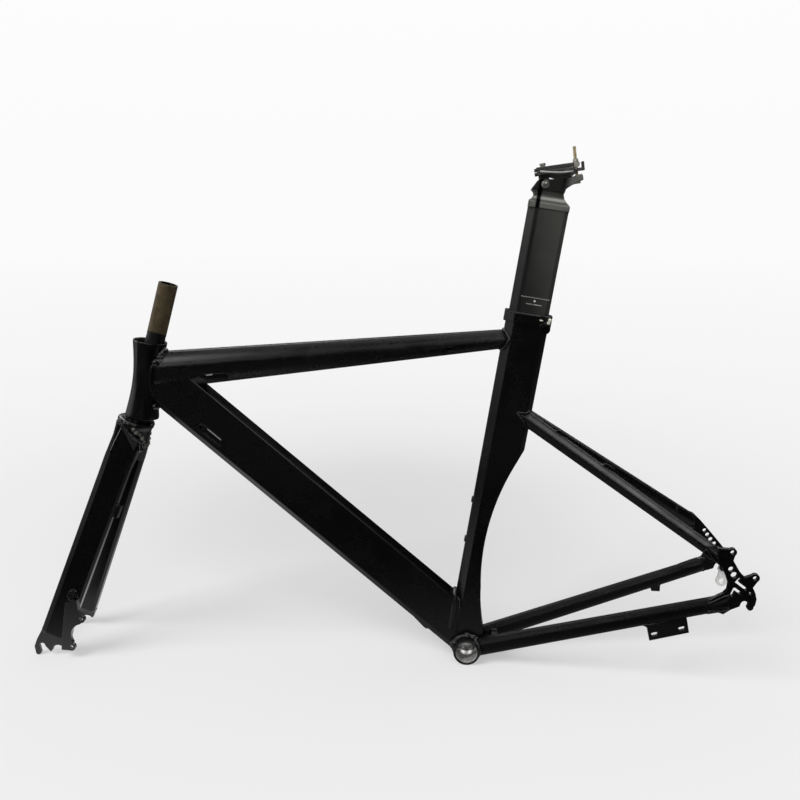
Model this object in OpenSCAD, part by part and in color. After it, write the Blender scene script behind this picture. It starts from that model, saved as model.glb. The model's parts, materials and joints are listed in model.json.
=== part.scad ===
// Bicycle frameset with flat-sided aero tubes: frame, fork and seatpost, standing on
// the bottom-bracket shell and the two fork tips. The origin is the centre of the
// bottom bracket, +X points to the rear, +Y to the right side, +Z up.

/* [Frame layout] */
// backward lean of the head tube in the standing pose, degrees
head_lean = 9.6; // [9:0.1:10.5]
// distance of the head tube top ahead of the bottom bracket
head_reach = 482.5; // [472:0.5:495]
// height of the head tube top above the bottom bracket
head_stack = 473; // [466:0.5:480]
// head tube length
head_len = 118; // [114:1:124]
// backward lean of the seat tube in the standing pose, degrees
seat_lean = 8.85; // [8.4:0.05:9.4]
// seat tube length from the bottom bracket centre to its top
seat_len = 525; // [518:1:534]
// chainstay length from the bottom bracket to the rear axle
stay_len = 411; // [406:1:418]
// height of the rear axle above the bottom bracket
axle_rise = 113.5; // [108:0.5:118]

/* [Head tube] */
// outer radius at both ends
head_r = 25; // [24.5:0.1:26]
// how far the waist is drawn in
waist = 5.2; // [4:0.1:5.6]
// radius of the bearing seats at both ends
cup_r = 21.8; // [21.4:0.1:22]
// depth of the bearing seats
cup_depth = 9; // [7:0.5:10]

/* [Main tubes] */
// wall of the aluminium tubes
wall = 2; // [1.6:0.1:2.4]
// down tube depth in side view
down_depth = 70; // [66:0.5:73]
// down tube thickness across the frame
down_w = 31; // [30:0.5:33]
// distance below the head tube top at which the down tube centre line meets the head axis
down_drop = 39.7; // [37:0.1:42]
// distance above the bottom bracket at which it meets the seat axis
down_lift = 18.6; // [16:0.1:21]
// top tube height at the front
top_front = 57; // [53:0.5:60]
// top tube height at the rear
top_rear = 25; // [22:0.5:27]
// top tube width at the front
top_w = 35; // [32:0.5:37]
// radius of the wheel cut-out in the seat tube
cutout_r = 375; // [370:1:380]

/* [Bottom bracket and stays] */
// bottom bracket shell outer radius
bb_r = 20; // [19.5:0.1:20.5]
// bottom bracket shell bore radius
bb_bore_r = 17.4; // [17.2:0.1:17.8]
// bottom bracket shell width
bb_w = 68; // [66:0.5:73]
// space between the rear dropouts
rear_space = 135; // [130:1:137]
// dropout plate thickness
plate_t = 6; // [5.5:0.1:7]
// chainstay height at the bottom bracket
chain_h = 28; // [26:0.5:30]
// chainstay width
chain_w = 17; // [15:0.5:18]
// seatstay height in side view
seat_h = 26.5; // [25:0.5:28]
// seatstay width
seat_w = 17; // [15:0.5:18]

/* [Seatpost] */
// post depth in side view
post_chord = 57; // [55:0.5:58]
// post thickness across the frame
post_w = 25; // [23:0.5:26]
// sliding gap between post and seat tube
post_gap = 0.25; // [0.15:0.05:0.4]
// height of the head seam above the bottom bracket along the seat axis
post_top = 674; // [664:1:690]
// length of post inside the seat tube
post_inside = 68; // [60:1:80]
// saddle rail radius
rail_r = 3.5; // [3.5:0.1:3.6]
// distance between the saddle rails
rail_space = 44; // [43:0.5:45]

/* [Fork] */
// steerer outer radius
steerer_r = 14.3; // [14.2:0.05:14.4]
// steerer wall
steerer_wall = 2.3; // [1.8:0.1:3]
// steerer height above the middle of the head tube
steerer_top = 150; // [140:1:170]
// gap between the leaning steerer and the bearing seats
steer_gap = 0.4; // [0.35:0.05:0.7]
// crown radius
crown_r = 28; // [27:0.1:28.5]
// blade depth in side view
blade_d = 44; // [42:0.5:45]
// blade thickness across the fork
blade_t = 18; // [17:0.5:19]
// forward rake of the blades from the steerer, degrees
blade_rake = 5.35; // [5:0.05:5.7]
// space between the fork tips
front_space = 100; // [98:0.5:101]
// brake bolt spacing
brake_space = 51; // [51:0.5:51.5]
// brake bolt hole radius
brake_hole_r = 3.1; // [3:0.05:3.3]

/* [Hidden] */
$fn = 64;

paint = [0.03, 0.03, 0.032];
bare_steel = [0.36, 0.29, 0.22];
bare_alloy = [0.72, 0.72, 0.72];
bolt_steel = [0.45, 0.44, 0.42];
slice_t = 0.02;
far = 400;

axle_x = sqrt(stay_len * stay_len - axle_rise * axle_rise);
head_mid = [-head_reach - sin(head_lean) * head_len / 2, 0,
    head_stack - cos(head_lean) * head_len / 2];
steer_tilt = atan((cup_r - steerer_r - steer_gap) / (head_len / 2));
steer_lean = head_lean + steer_tilt;
fork_lean = steer_lean + blade_rake;
crown_top = -head_len / 2 * cos(steer_tilt) - head_r * sin(steer_tilt) - 0.7;
crown_h = 44;
race_h = 3;
blade_back = 1.9;
blade_y = front_space / 2 + 0.5;
tip_t = 5.5;

// outline helpers: a convex outline is given counter-clockwise
function unit(v) = v / norm(v);
function step(p, i) = p[(i + len(p)) % len(p)];
function grow(p, e) = [for (i = [0:len(p) - 1])
    let (d1 = unit(p[i] - step(p, i - 1)), d2 = unit(step(p, i + 1) - p[i]),
        n1 = [d1.y, -d1.x], n2 = [d2.y, -d2.x])
    p[i] + (n1 + n2) * e / (1 + n1 * n2)];
function rounded(p, r, n = 5) = [for (i = [0:len(p) - 1])
    let (u = unit(step(p, i - 1) - p[i]), v = unit(step(p, i + 1) - p[i]),
        half = acos(u * v) / 2, o = p[i] + unit(u + v) * r / sin(half),
        a = p[i] + u * r / tan(half) - o, b = p[i] + v * r / tan(half) - o,
        a0 = atan2(a.y, a.x), turn = (atan2(b.y, b.x) - a0 + 540) % 360 - 180)
    for (k = [0:n]) o + r * [cos(a0 + turn * k / n), sin(a0 + turn * k / n)]];

// outlines of the tubes
nose_l = 10.5;
nose_w = 4;
tail_l = 6;
tail_w = 8;
post_line = [[-post_chord / 2, -nose_w], [nose_l - post_chord / 2, -post_w / 2],
    [post_chord / 2 - tail_l, -post_w / 2], [post_chord / 2, -tail_w],
    [post_chord / 2, tail_w], [post_chord / 2 - tail_l, post_w / 2],
    [nose_l - post_chord / 2, post_w / 2], [-post_chord / 2, nose_w]];
seat_bore = grow(post_line, post_gap);
seat_outer = grow(seat_bore, wall);
collar_t = 3.4;
seat_half = post_chord / 2 + post_gap + wall;
seat_side = post_w / 2 + post_gap + wall;

bevel_h = 9;
bevel_w = 5.5;
down_line = [[-down_w / 2, -down_depth / 2], [down_w / 2, -down_depth / 2],
    [down_w / 2, down_depth / 2 - bevel_h], [down_w / 2 - bevel_w, down_depth / 2],
    [bevel_w - down_w / 2, down_depth / 2], [-down_w / 2, down_depth / 2 - bevel_h]];
// a creased section: half width w, heights up and down of the crease, flat half widths
function creased(w, up, down, flat_up, flat_down) = [[flat_down, -down], [w, 0], [flat_up, up],
    [-flat_up, up], [-w, 0], [-flat_down, -down]];
function moved(p, v) = [for (q = p) q + v];

blade_line = [[-blade_d / 2, -4], [9 - blade_d / 2, -blade_t / 2], [blade_d / 2 - 4, -blade_t / 2],
    [blade_d / 2, 4 - blade_t / 2], [blade_d / 2, blade_t / 2 - 4], [blade_d / 2 - 4, blade_t / 2],
    [9 - blade_d / 2, blade_t / 2], [-blade_d / 2, 4]];

// places
module seat_frame() rotate([0, seat_lean, 0]) children();
module head_frame() translate([-head_reach, 0, head_stack]) rotate([0, head_lean, 0]) children();
module fork_frame() translate(head_mid) rotate([0, steer_lean, 0]) children();
module blade_frame() fork_frame() translate([blade_back, 0, crown_top])
    rotate([0, blade_rake, 0]) children();
module rear_axle() translate([axle_x, 0, axle_rise]) children();
// a flat plate in side view between two distances across the frame
module side_plate(y0, y1) translate([0, y1, 0]) rotate([90, 0, 0]) linear_extrude(y1 - y0) children();
module side_bar(p, r, y0, y1) translate([p.x, y1, p.y]) rotate([90, 0, 0]) cylinder(r = r, h = y1 - y0);
// a slot with round ends: its straight sides are drawn in a little, so that they cut the ends cleanly
slot_ease = 0.02;
module slot(a, b, r) {
    translate(a) circle(r);
    translate(b) circle(r);
    translate((a + b) / 2) rotate(atan2(b.y - a.y, b.x - a.x))
        square([norm(b - a), 2 * r - slot_ease], center = true);
}
module slice(x, p) translate([x, 0, 0]) rotate([90, 0, 90])
    linear_extrude(slice_t, center = true) polygon(p);

// head tube
rim = 4;
head_wall = 3;
head_steps = 16;
function head_out(t) = head_r - waist * sin(180 * t);
function head_z(t) = -rim - t * (head_len - 2 * rim);
cup_t = (cup_depth - rim) / (head_len - 2 * rim);
module head_outer() head_frame() rotate_extrude() polygon(concat([[0, 0], [head_r, 0]],
    [for (k = [0:head_steps]) [head_out(k / head_steps), head_z(k / head_steps)]],
    [[head_r, -head_len], [0, -head_len]]));
module head_bore() head_frame() rotate_extrude() polygon(concat([[0, 1], [cup_r, 1], [cup_r, -cup_depth]],
    [for (k = [0:head_steps]) let (t = cup_t + (1 - 2 * cup_t) * k / head_steps)
        [min(cup_r, head_out(t) - head_wall), head_z(t)]],
    [[cup_r, cup_depth - head_len], [cup_r, -head_len - 1], [0, -head_len - 1]]));
module head_tube() color(paint) difference() {
    head_outer();
    head_bore();
}

// top tube
crease_part = 0.36;
top_z1 = head_stack - 38;
// height of the seat tube's top above the crease of the top tube at its rear end
top_fall = 33.25;
top_z2 = seat_len * cos(seat_lean) - top_fall;
top_x1 = -head_reach - 6;
top_x2 = 76;
top_w2 = 2 * seat_side - 3;
function top_section(e, front) = let (h = (front ? top_front : top_rear), w = (front ? top_w : top_w2),
        up = (front ? h * crease_part : h / 2), z = (front ? top_z1 : top_z2))
    moved(rounded(grow(creased(w / 2, up, h - up, w * 0.24, w * (front ? 0.425 : 0.32)), e), 3), [0, z]);
module top_solid(e) hull() {
    slice(top_x1, top_section(e, true));
    slice(top_x2, top_section(e, false));
}
function top_z(x) = top_z1 + (top_z2 - top_z1) * (x - top_x1) / (top_x2 - top_x1);
function below_crease(x, drop) = [x, top_z(x) - drop];
top_port_a = below_crease(86.5 - head_reach, 20.3);
top_port_b = below_crease(116.5 - head_reach, 21);
rear_port_a = below_crease(-61.3, 8);
rear_port_b = below_crease(-31.6, 8);
port_r = 4.2;
cable_r = 2.6;
module top_outer() difference() {
    top_solid(0);
    head_outer();
    seat_outer_solid();
    head_frame() translate([-far, -far / 2, -far / 2]) cube([far, far, far]);
}
module top_tube() color(paint) difference() {
    top_outer();
    top_solid(-wall);
    side_bar(top_port_a, cable_r, -far, 0);
    side_bar(rear_port_b, cable_r, -far, 0);
}

// down tube
down_a = [down_lift * sin(seat_lean), down_lift * cos(seat_lean)];
down_b = [-head_reach - down_drop * sin(head_lean), head_stack - down_drop * cos(head_lean)];
down_len = norm(down_b - down_a);
down_turn = atan2(down_b.x - down_a.x, down_b.y - down_a.y);
module down_frame() translate([down_a.x, 0, down_a.y]) rotate([0, down_turn, 0]) children();
module down_prism(e) down_frame() translate([0, 0, -60]) rotate([0, 0, 90])
    linear_extrude(down_len + 100) polygon(rounded(grow(down_line, e), 3));
down_port_x = -14;
down_port_z1 = down_len - 122;
down_port_z2 = down_len - 158;
module down_tube() color(paint) difference() {
    down_prism(0);
    difference() {
        down_prism(-wall);
        seat_frame() translate([-seat_half - 12, -far / 2, -far / 2]) cube([far, far, far]);
    }
    head_outer();
    top_solid(0);
    seat_outer_solid();
    bb_solid();
    head_frame() translate([-far, -far / 2, -far / 2]) cube([far, far, far]);
    seat_frame() translate([9.5 - seat_half, -far / 2, 0]) cube([far, far, far]);
    translate([-12, -far / 2, -far / 2]) cube([far, far, far]);
    translate([top_x1, 0, top_z1 - 4]) rotate([0, atan2(top_z1 - top_z2, top_x2 - top_x1), 0])
        translate([-far / 2, -far / 2, 0]) cube([far * 2, far, far]);
    down_frame() side_bar([down_port_x, down_port_z1], cable_r, -far, 0);
}

// seat tube with its wheel cut-out
seat_foot = 12;
cutout_low = 25;
// distance of the cut-out's deepest point behind the bottom bracket
cutout_x = 20.02;
module wheel_space(e) for (low = [0, cutout_low])
    translate([cutout_x + cutout_r, 0, axle_rise - low]) rotate([90, 0, 0])
    cylinder(r = cutout_r + e, h = far, center = true, $fn = 256);
module seat_prism(p, a, b, r) seat_frame() translate([0, 0, a])
    linear_extrude(b - a) polygon(rounded(p, r));
module seat_outer_solid() seat_prism(seat_outer, seat_foot, seat_len, 3);
module seat_tube() color(paint) difference() {
    seat_outer_solid();
    wheel_space(0);
    bb_solid();
    difference() {
        seat_prism(seat_bore, -30, seat_len + 1, 2);
        wheel_space(wall);
    }
    seat_frame() side_bar(boss_p, collar_screw_r, -far, 0);
    bottle_holes();
}
// threaded bosses for a bottle cage on the front of the seat tube
bottle_s = 202.7;
bottle_space = 64;
bottle_r = 4.8;
bottle_hole_r = 2.1;
bottle_h = 2;
module bottle_place() seat_frame() for (side = [-1, 1])
    translate([-seat_half, 0, bottle_s + side * bottle_space / 2]) rotate([0, -90, 0]) children();
module bottle_holes() bottle_place() translate([0, 0, -10]) cylinder(r = bottle_hole_r, h = 20);
module bottle_bosses() color(paint) difference() {
    bottle_place() cylinder(r = bottle_r, h = bottle_h);
    bottle_holes();
}

// bottom bracket shell
module bb_solid() rotate([90, 0, 0]) cylinder(r = bb_r, h = bb_w, center = true, $fn = 96);
module bb_shell() color(paint) difference() {
    bb_solid();
    rotate([90, 0, 0]) cylinder(r = bb_bore_r, h = bb_w + 2, center = true, $fn = 96);
}

// stays: the left one is drawn with side -1, the right one with side 1
plate_y = rear_space / 2;
chain_x1 = 6;
chain_x2 = axle_x - 22;
chain_y1 = 18;
chain_z1 = 0.4;
chain_z2 = axle_rise + 2.4;
chain_h2 = 23;
chain_y2 = plate_y + plate_t / 2;
function chain_z(x) = chain_z1 + (chain_z2 - chain_z1) * (x - chain_x1) / (chain_x2 - chain_x1);
function chain_line(h, w) = [[w / 4, -h / 2], [w / 2, -h / 5], [w / 2, h / 5], [w / 4, h / 2],
    [-w / 4, h / 2], [-w / 2, h / 5], [-w / 2, -h / 5], [-w / 4, -h / 2]];
function chain_section(e, side, far_end) = let (x = far_end ? chain_x2 : chain_x1,
        y = side * (far_end ? chain_y2 : chain_y1), h = far_end ? chain_h2 : chain_h,
        w = far_end ? chain_w - 2 : chain_w)
    moved(rounded(grow(chain_line(h, w), e), 2.2, 4), [y, chain_z(x)]);
module chain_solid(side, e) hull() {
    slice(chain_x1, chain_section(e, side, false));
    slice(chain_x2, chain_section(e, side, true));
}
module chainstay(side) difference() {
    chain_solid(side, 0);
    intersection() {
        chain_solid(side, -wall);
        translate([0, -far / 2, -far / 2]) cube([chain_x2 - 30, far, far]);
    }
    bb_solid();
    difference() {
        seat_outer_solid();
        wheel_space(0);
    }
    if (side < 0) left_plate(); else right_plate();
}
module left_chainstay() color(paint) chainstay(-1);
module right_chainstay() color(paint) chainstay(1);

seat_x1 = 58;
seat_x2 = axle_x - 42;
seat_z1 = 382;
seat_z2 = axle_rise + 73;
seat_y1 = seat_side - seat_w / 2 - 2;
function stay_section(e, side, far_end) = let (y = side * (far_end ? chain_y2 : seat_y1),
        h = far_end ? seat_h - 4 : seat_h, w = far_end ? seat_w - 2 : seat_w,
        z = far_end ? seat_z2 : seat_z1)
    moved(rounded(grow(creased(w / 2, h / 2, h / 2, w * 0.2, w * 0.2), e), 1.5, 4), [y, z]);
module stay_solid(side, e) hull() {
    slice(seat_x1, stay_section(e, side, false));
    slice(seat_x2, stay_section(e, side, true));
}
module seatstay(side) difference() {
    stay_solid(side, 0);
    intersection() {
        stay_solid(side, -wall);
        translate([0, -far / 2, 0]) cube([seat_x2 - 30, far, far * 2]);
    }
    seat_outer_solid();
    translate([-far, -far / 2, 0]) cube([far, far, far * 2]);
    translate([0, side < 0 ? -1 : -far + 1, 0]) cube([far, far, far * 2]);
    if (side < 0) left_plate(); else right_plate();
}
module left_seatstay() color(paint) seatstay(-1);
module right_seatstay() color(paint) seatstay(1);

bridge_x1 = 86;
bridge_x2 = 122;
stay_slope = atan2(seat_z1 - seat_z2, seat_x2 - seat_x1);
module seatstay_bridge() color(paint) difference() {
    translate([seat_x1, 0, seat_z1]) rotate([0, stay_slope, 0])
        translate([(bridge_x1 - seat_x1) / cos(stay_slope), -14, -5])
        cube([(bridge_x2 - bridge_x1) / cos(stay_slope), 28, 10]);
    stay_solid(-1, 0);
    stay_solid(1, 0);
    seat_outer_solid();
    for (side = [-1, 1]) translate([0, side > 0 ? 12 : -far - 12, 0]) cube([far, far, far * 2]);
}
module chainstay_bridge() color(paint) difference() {
    translate([39, -22, chain_z(39) - 6]) cube([8, 44, 12]);
    chain_solid(-1, 0);
    chain_solid(1, 0);
}

// left dropout with brake tabs, drawn from the rear axle
tab2 = [12, 40.3];
tab1 = tab2 + brake_space * [-0.668, 0.744];
tab_r = 6;
hook_r = 5.2;
module left_plate() rear_axle() difference() {
    union() {
        side_plate(-plate_y - plate_t, -plate_y) polygon([[-58, 84], [-44, 84], tab1 + [-3, 5],
            tab1 + [4, -4], [-20, 66], [-9, 48], [-2, 41], tab2 + [-3, 5], tab2 + [5, -3],
            [10, 26], [14, 18], [16.5, 8], [15, -1], [10, -7], [0, 0], [-8, -4], [-18, -8.6],
            [-28.5, -16.2], [-38, -13], [-50, -16.4], [-50, 4.2], [-36, 13], [-30.5, 15.8], [-25.8, 21.5],
            [-24.8, 31.5], [-29, 43.3], [-35, 55], [-44, 62.4], [-62, 76]]);
        side_bar(tab1, tab_r, -plate_y - plate_t, -plate_y);
        side_bar(tab2, tab_r + 0.4, -plate_y - plate_t, -plate_y);
        side_bar([8.6, -4.6], 4.6, -plate_y - plate_t, -plate_y);
    }
    side_plate(-plate_y - plate_t - 1, 1 - plate_y) {
        slot([0, 0], [-4.5, -14], hook_r);
        slot([-9.6, 38.2], [-13.4, 33.4], 2.1);
        slot([-13.4, 33.4], [-0.2, 23.6], 2.1);
        slot([-18.6, 14.4], [-15.6, 23], 2.2);
        slot([-15.6, 23], [-8.4, 17.8], 2.2);
    }
    for (p = [tab1, tab2]) side_bar(p, brake_hole_r, -far, 0);
    side_bar([-22.4, 53], 3.9, -far, 0);
    side_bar([-17.6, 44.2], 4.6, -far, 0);
    side_bar([7.2, 17], 2.1, -far, 0);
}
module left_dropout() color(paint) left_plate();

// right dropout
right_holes = [[-24.4, 59, 3.2], [-19.4, 51.8, 3.5], [-14, 44.2, 3.7], [-8, 37, 3.7]];
module right_plate() rear_axle() difference() {
    union() {
        side_plate(plate_y, plate_y + plate_t) polygon([[-58, 90], [-42, 85], [-29.6, 73], [-12, 53],
            [6, 32], [12, 18], [12, 6], [10, -6], [0, 0], [-9, -5], [-20, -8.6], [-40, -13],
            [-60, -19], [-60, 0], [-34, 9.6], [-26, 14], [-22, 22], [-24, 34], [-31, 49],
            [-44, 62], [-62, 76]]);
        side_bar([8.4, -4.4], 4.4, plate_y, plate_y + plate_t);
    }
    side_plate(plate_y - 1, plate_y + plate_t + 1) slot([0, 0], [-4.5, -14], hook_r);
    for (p = right_holes) side_bar(p, p.z, 0, far);
    for (p = hanger_holes) side_bar(p, hanger_screw_r, 0, far);
}
module right_dropout() color(paint) right_plate();

// derailleur hanger on the outer face of the right dropout
hanger_holes = [[2, 14], [-11, 9]];
hanger_screw_r = 2;
hanger_t = 5;
hanger_eye = [9.5, -28];
hanger_eye_r = 4.55;
hanger_y = plate_y + plate_t;
module derailleur_hanger() color(bare_alloy) rear_axle() difference() {
    union() {
        side_plate(hanger_y, hanger_y + hanger_t) polygon([[-15, 6], [-13, 14], [0, 19], [8, 16], [12, 8],
            [13.5, -6], [17.5, -26], [1.5, -30], [4, -18], [5, -10], [-8, -4]]);
        side_bar(hanger_eye, 8.6, hanger_y, hanger_y + hanger_t);
    }
    side_plate(hanger_y - 1, hanger_y + hanger_t + 1) slot([0, 0], [-4.5, -14], hook_r);
    side_bar(hanger_eye, hanger_eye_r, 0, far);
    for (p = hanger_holes) side_bar(p, hanger_screw_r, 0, far);
}
module hanger_bolts() color(bolt_steel) rear_axle() for (p = hanger_holes) {
    side_bar(p, hanger_screw_r, plate_y, hanger_y + hanger_t);
    side_bar(p, 3.6, hanger_y + hanger_t, hanger_y + hanger_t + 2.2);
}

// plate for a kickstand under the left chainstay
kick_a = [275, 55.5];
kick_b = kick_a + 40 * [cos(15.4), sin(15.4)];
kick_y = 57;
kick_t = 5;
module kickstand_plate() color(paint) difference() {
    side_plate(-kick_y - kick_t / 2, -kick_y + kick_t / 2) difference() {
        polygon([[254, 72], [264, 65], [268.5, 45], [324.5, 60], [319.5, 84], [300, 88]]);
        for (p = [kick_a, kick_b]) slot(p - [2, 0.55], p + [2, 0.55], 2.9);
    }
    chain_solid(-1, 0);
    translate([0, -far / 2, chain_z(300) + 6]) cube([far, far, far]);
}

// guides for hoses and cables, open eyes for a tie
guide_at = [127, 195];
guide_x = 292;
function stay_z(x) = seat_z1 + (seat_z2 - seat_z1) * (x - seat_x1) / (seat_x2 - seat_x1);
function stay_y(x) = seat_y1 + (chain_y2 - seat_y1) * (x - seat_x1) / (seat_x2 - seat_x1);
module seatstay_hose_guide() color(paint) difference() {
    for (x = guide_at) translate([x, -stay_y(x), stay_z(x)]) rotate([0, stay_slope, 0])
        translate([-13, -3.5, 0]) difference() {
            side_plate(0, 7) polygon([[0, 0], [3, 12.5], [6, 15], [20, 15], [23, 12.5], [26, 0]]);
            translate([5.5, -1, 0]) cube([15, 9, 12.4]);
        }
    stay_solid(-1, 0);
}
module chainstay_cable_guide() color(paint) difference() {
    translate([guide_x, 56, chain_z(guide_x) - 18]) difference() {
        cube([13, 8, 14]);
        translate([-1, 4, 3.6]) rotate([0, 90, 0]) cylinder(r = 2.2, h = 15);
    }
    chain_solid(1, 0);
}

// cable ports: low rims standing on the tube sides, each with an open eye
module port(a, b) side_plate(-far / 2, 0) difference() {
    slot(a, b, port_r);
    translate(a) circle(cable_r);
}
module port_band(y) translate([-far * 2, y, -far]) cube([far * 4, far, far * 3]);
module top_front_port() color(paint) difference() {
    intersection() {
        port(top_port_a, top_port_b);
        port_band(-18.6);
    }
    top_solid(0);
}
module top_rear_port() color(paint) difference() {
    intersection() {
        port(rear_port_b, rear_port_a);
        port_band(-15.2);
    }
    top_solid(0);
}
module down_tube_port() color(paint) down_frame() side_plate(-down_w / 2 - 2, -down_w / 2) difference() {
    slot([down_port_x, down_port_z1], [down_port_x, down_port_z2], 6);
    translate([down_port_x, down_port_z1]) circle(cable_r);
    slot([down_port_x, down_port_z1 - 8], [down_port_x, down_port_z2], 3.4);
}

// cable outlet under the down tube, its mouth towards the bottom bracket
outlet_z = 52;
outlet_len = 38;
outlet_h = 3.4;
outlet_w = 14;
module down_tube_outlet() color(paint) down_frame() translate([-down_depth / 2, 0, outlet_z]) difference() {
    side_plate(-outlet_w / 2, outlet_w / 2)
        polygon([[0, 0], [0, outlet_len], [-outlet_h, 8], [-outlet_h, 3]]);
    translate([-outlet_h / 2 - 0.2, 0, -1]) cylinder(r = 1.2, h = 12);
}

// seat collar with a boss for the clamping screw on its left side
collar_h = 16;
collar_top = seat_len + 2.5;
boss_p = [seat_half - 5.5, collar_top - 18];
boss_r = 8;
boss_y = seat_side + collar_t + 1.6;
collar_screw_r = 3;
screw_stop = post_w / 2 + 0.4;
module seat_collar() color(paint) seat_frame() difference() {
    union() {
        translate([0, 0, collar_top - collar_h]) linear_extrude(collar_h)
            polygon(rounded(grow(seat_outer, collar_t), 4));
        side_bar(boss_p, boss_r, -boss_y, -seat_side + 3);
    }
    translate([0, 0, -1]) linear_extrude(seat_len + 1) polygon(rounded(seat_outer, 3));
    translate([0, 0, seat_len - 1]) linear_extrude(10) polygon(rounded(seat_bore, 2));
    side_bar(boss_p, collar_screw_r, -far, 0);
}
module collar_screw() color(bolt_steel) seat_frame() difference() {
    union() {
        side_bar(boss_p, collar_screw_r, -boss_y, -screw_stop);
        side_bar(boss_p, 5, -boss_y - 3.4, -boss_y);
    }
    translate([boss_p.x, -boss_y - 1, boss_p.y]) rotate([90, 0, 0]) cylinder(r = 2.9, h = 4, $fn = 6);
}

// fork: steerer, crown and race seat turn about the steerer axis
// the top of the steerer is bare, the rest carries a film of paint
bare_len = 80;
film = 0.08;
// a turned line parts them
line_w = 3;
line_deep = 0.4;
steerer_foot = crown_top - crown_h + 4;
module steerer() color(bare_steel) fork_frame() difference() {
    union() {
        translate([0, 0, steerer_foot]) cylinder(r = steerer_r, h = steerer_top - steerer_foot);
        translate([0, 0, steerer_foot])
            cylinder(r = steerer_r + film, h = steerer_top - bare_len - steerer_foot);
    }
    translate([0, 0, steerer_foot - 1]) cylinder(r = steerer_r - steerer_wall, h = far);
    translate([0, 0, steerer_top - bare_len - line_w]) difference() {
        cylinder(r = steerer_r + 1, h = line_w);
        cylinder(r = steerer_r - line_deep, h = line_w);
    }
}
module crown_outer() fork_frame() rotate_extrude() polygon([[0, crown_top - race_h],
    [crown_r - 3, crown_top - race_h],
    [crown_r - 0.8, crown_top - race_h - 0.9], [crown_r, crown_top - race_h - 3],
    [crown_r - 0.6, crown_top - race_h - 7], [crown_r - 2.5, crown_top - race_h - 11],
    [crown_r - 3.5, crown_top - crown_h], [0, crown_top - crown_h]]);
module fork_crown() color(paint) difference() {
    crown_outer();
    fork_frame() translate([0, 0, crown_top - far]) cylinder(r = steerer_r + film, h = far * 2);
}
module crown_race() color(paint) fork_frame() translate([0, 0, crown_top - race_h]) difference() {
    cylinder(r = steerer_r + 6.5, h = race_h);
    translate([0, 0, -1]) cylinder(r = steerer_r + film, h = race_h + 2);
}

// fork tips are set so that the front tine stands level with the bottom of the shell
tip_r = 4.2;
tip_slot_r = 4.8;
slot_way = [sin(30), -cos(30)];
axle_b = -12.4;
tine = [-(tip_slot_r + tip_r) * cos(30), -(tip_slot_r + tip_r) * sin(30)] + 10 * slot_way;
blade_z0 = head_mid.z - blade_back * sin(steer_lean) + crown_top * cos(steer_lean);
axle_z = (tip_r - bb_r - blade_z0 + (axle_b + tine.x) * sin(fork_lean)) / cos(fork_lean) - tine.y;
seam_z = axle_z + 28;
shoulder_z = -72;
blade_top_y = 27.3;
splay = atan((blade_y - blade_top_y) / (shoulder_z - seam_z));
module blade_side() translate([0, blade_y, seam_z]) rotate([splay, 0, 0])
    translate([0, 0, -seam_z]) children();
module blade_prism(e, z1, z2) translate([0, 0, z1]) linear_extrude(z2 - z1)
    polygon(rounded(grow(blade_line, e), 2));
shoulder_step = 0.2;
module shoulder() hull() {
    side_plate(6, 25) polygon([[-21, -50], [21, -50], [18.5, -31], [-20, -8]]);
    blade_side() translate([0, -3.5, 0]) blade_prism(shoulder_step, -40, -40 + slice_t);
    blade_side() blade_prism(shoulder_step, shoulder_z, shoulder_z + slice_t);
}
module blade() difference() {
    union() {
        blade_side() blade_prism(0, seam_z, shoulder_z + 14);
        shoulder();
    }
    blade_side() blade_prism(-wall, seam_z - 1, shoulder_z + 10);
}
module right_blade() color(paint) difference() {
    blade_frame() blade();
    crown_outer();
}
module left_blade() color(paint) difference() {
    blade_frame() mirror([0, 1, 0]) blade();
    crown_outer();
}
module tip_outline() difference() {
    union() {
        polygon([[-21 - axle_b, 28], [-11.5, 8], [-11.6, -6], tine - [3, 3], tine + [4, 0], [4, 2],
            [15.5, -4], [20, 6], [34, 12], [35, 28]]);
        translate(tine) circle(tip_r);
    }
    slot([0, 0], 30 * slot_way, tip_slot_r);
    translate([27, 2.5]) circle(10);
}
module fork_tip() {
    blade_side() blade_prism(0, seam_z - 4, seam_z);
    translate([axle_b, 0, axle_z]) side_plate(front_space / 2, front_space / 2 + tip_t) tip_outline();
}
module right_fork_tip() color(paint) blade_frame() fork_tip();
module left_fork_tip() color(paint) blade_frame() mirror([0, 1, 0]) fork_tip();

// brake mount on the outer face of the left blade
blade_out = blade_y + blade_t / 2;
mount_y1 = blade_out - 5.5;
mount_y2 = blade_out + 4.5;
tab_x = 39;
tab_t = 6;
brake_b = [46.3, 22.7];
brake_a = brake_b + [0, brake_space];
module fork_brake_mount() color(paint) blade_frame() difference() {
    translate([axle_b, 0, axle_z]) side_plate(-mount_y2, -mount_y1) difference() {
        union() {
            polygon([[24, 100], [15, 90], [27.5, 30], [33, 12], brake_b - [0, 6], brake_a + [2, 5.5],
                [38, brake_a.y + 11], [30, 100]]);
            for (p = [brake_a, brake_b]) translate(p) circle(tab_r);
        }
        translate([brake_b.x + 13, (brake_a.y + brake_b.y) / 2]) circle(21);
        for (p = [brake_a, brake_b]) translate(p) circle(brake_hole_r);
    }
    mirror([0, 1, 0]) {
        blade_side() blade_prism(0, seam_z - 4, shoulder_z);
        fork_tip();
        blade_side() eyelet_solid();
    }
    translate([axle_b + tab_x, tab_t - mount_y2, axle_z]) cube([far, far, far]);
}
eyelet_p = [7, axle_z + 102];
module eyelet_solid() side_bar(eyelet_p, 7, blade_t / 2, blade_t / 2 + 6.5);
module fork_eyelet() color(paint) blade_frame() mirror([0, 1, 0]) blade_side() difference() {
    eyelet_solid();
    side_bar(eyelet_p, 2.1, blade_t / 2 + 0.5, far);
}
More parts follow.
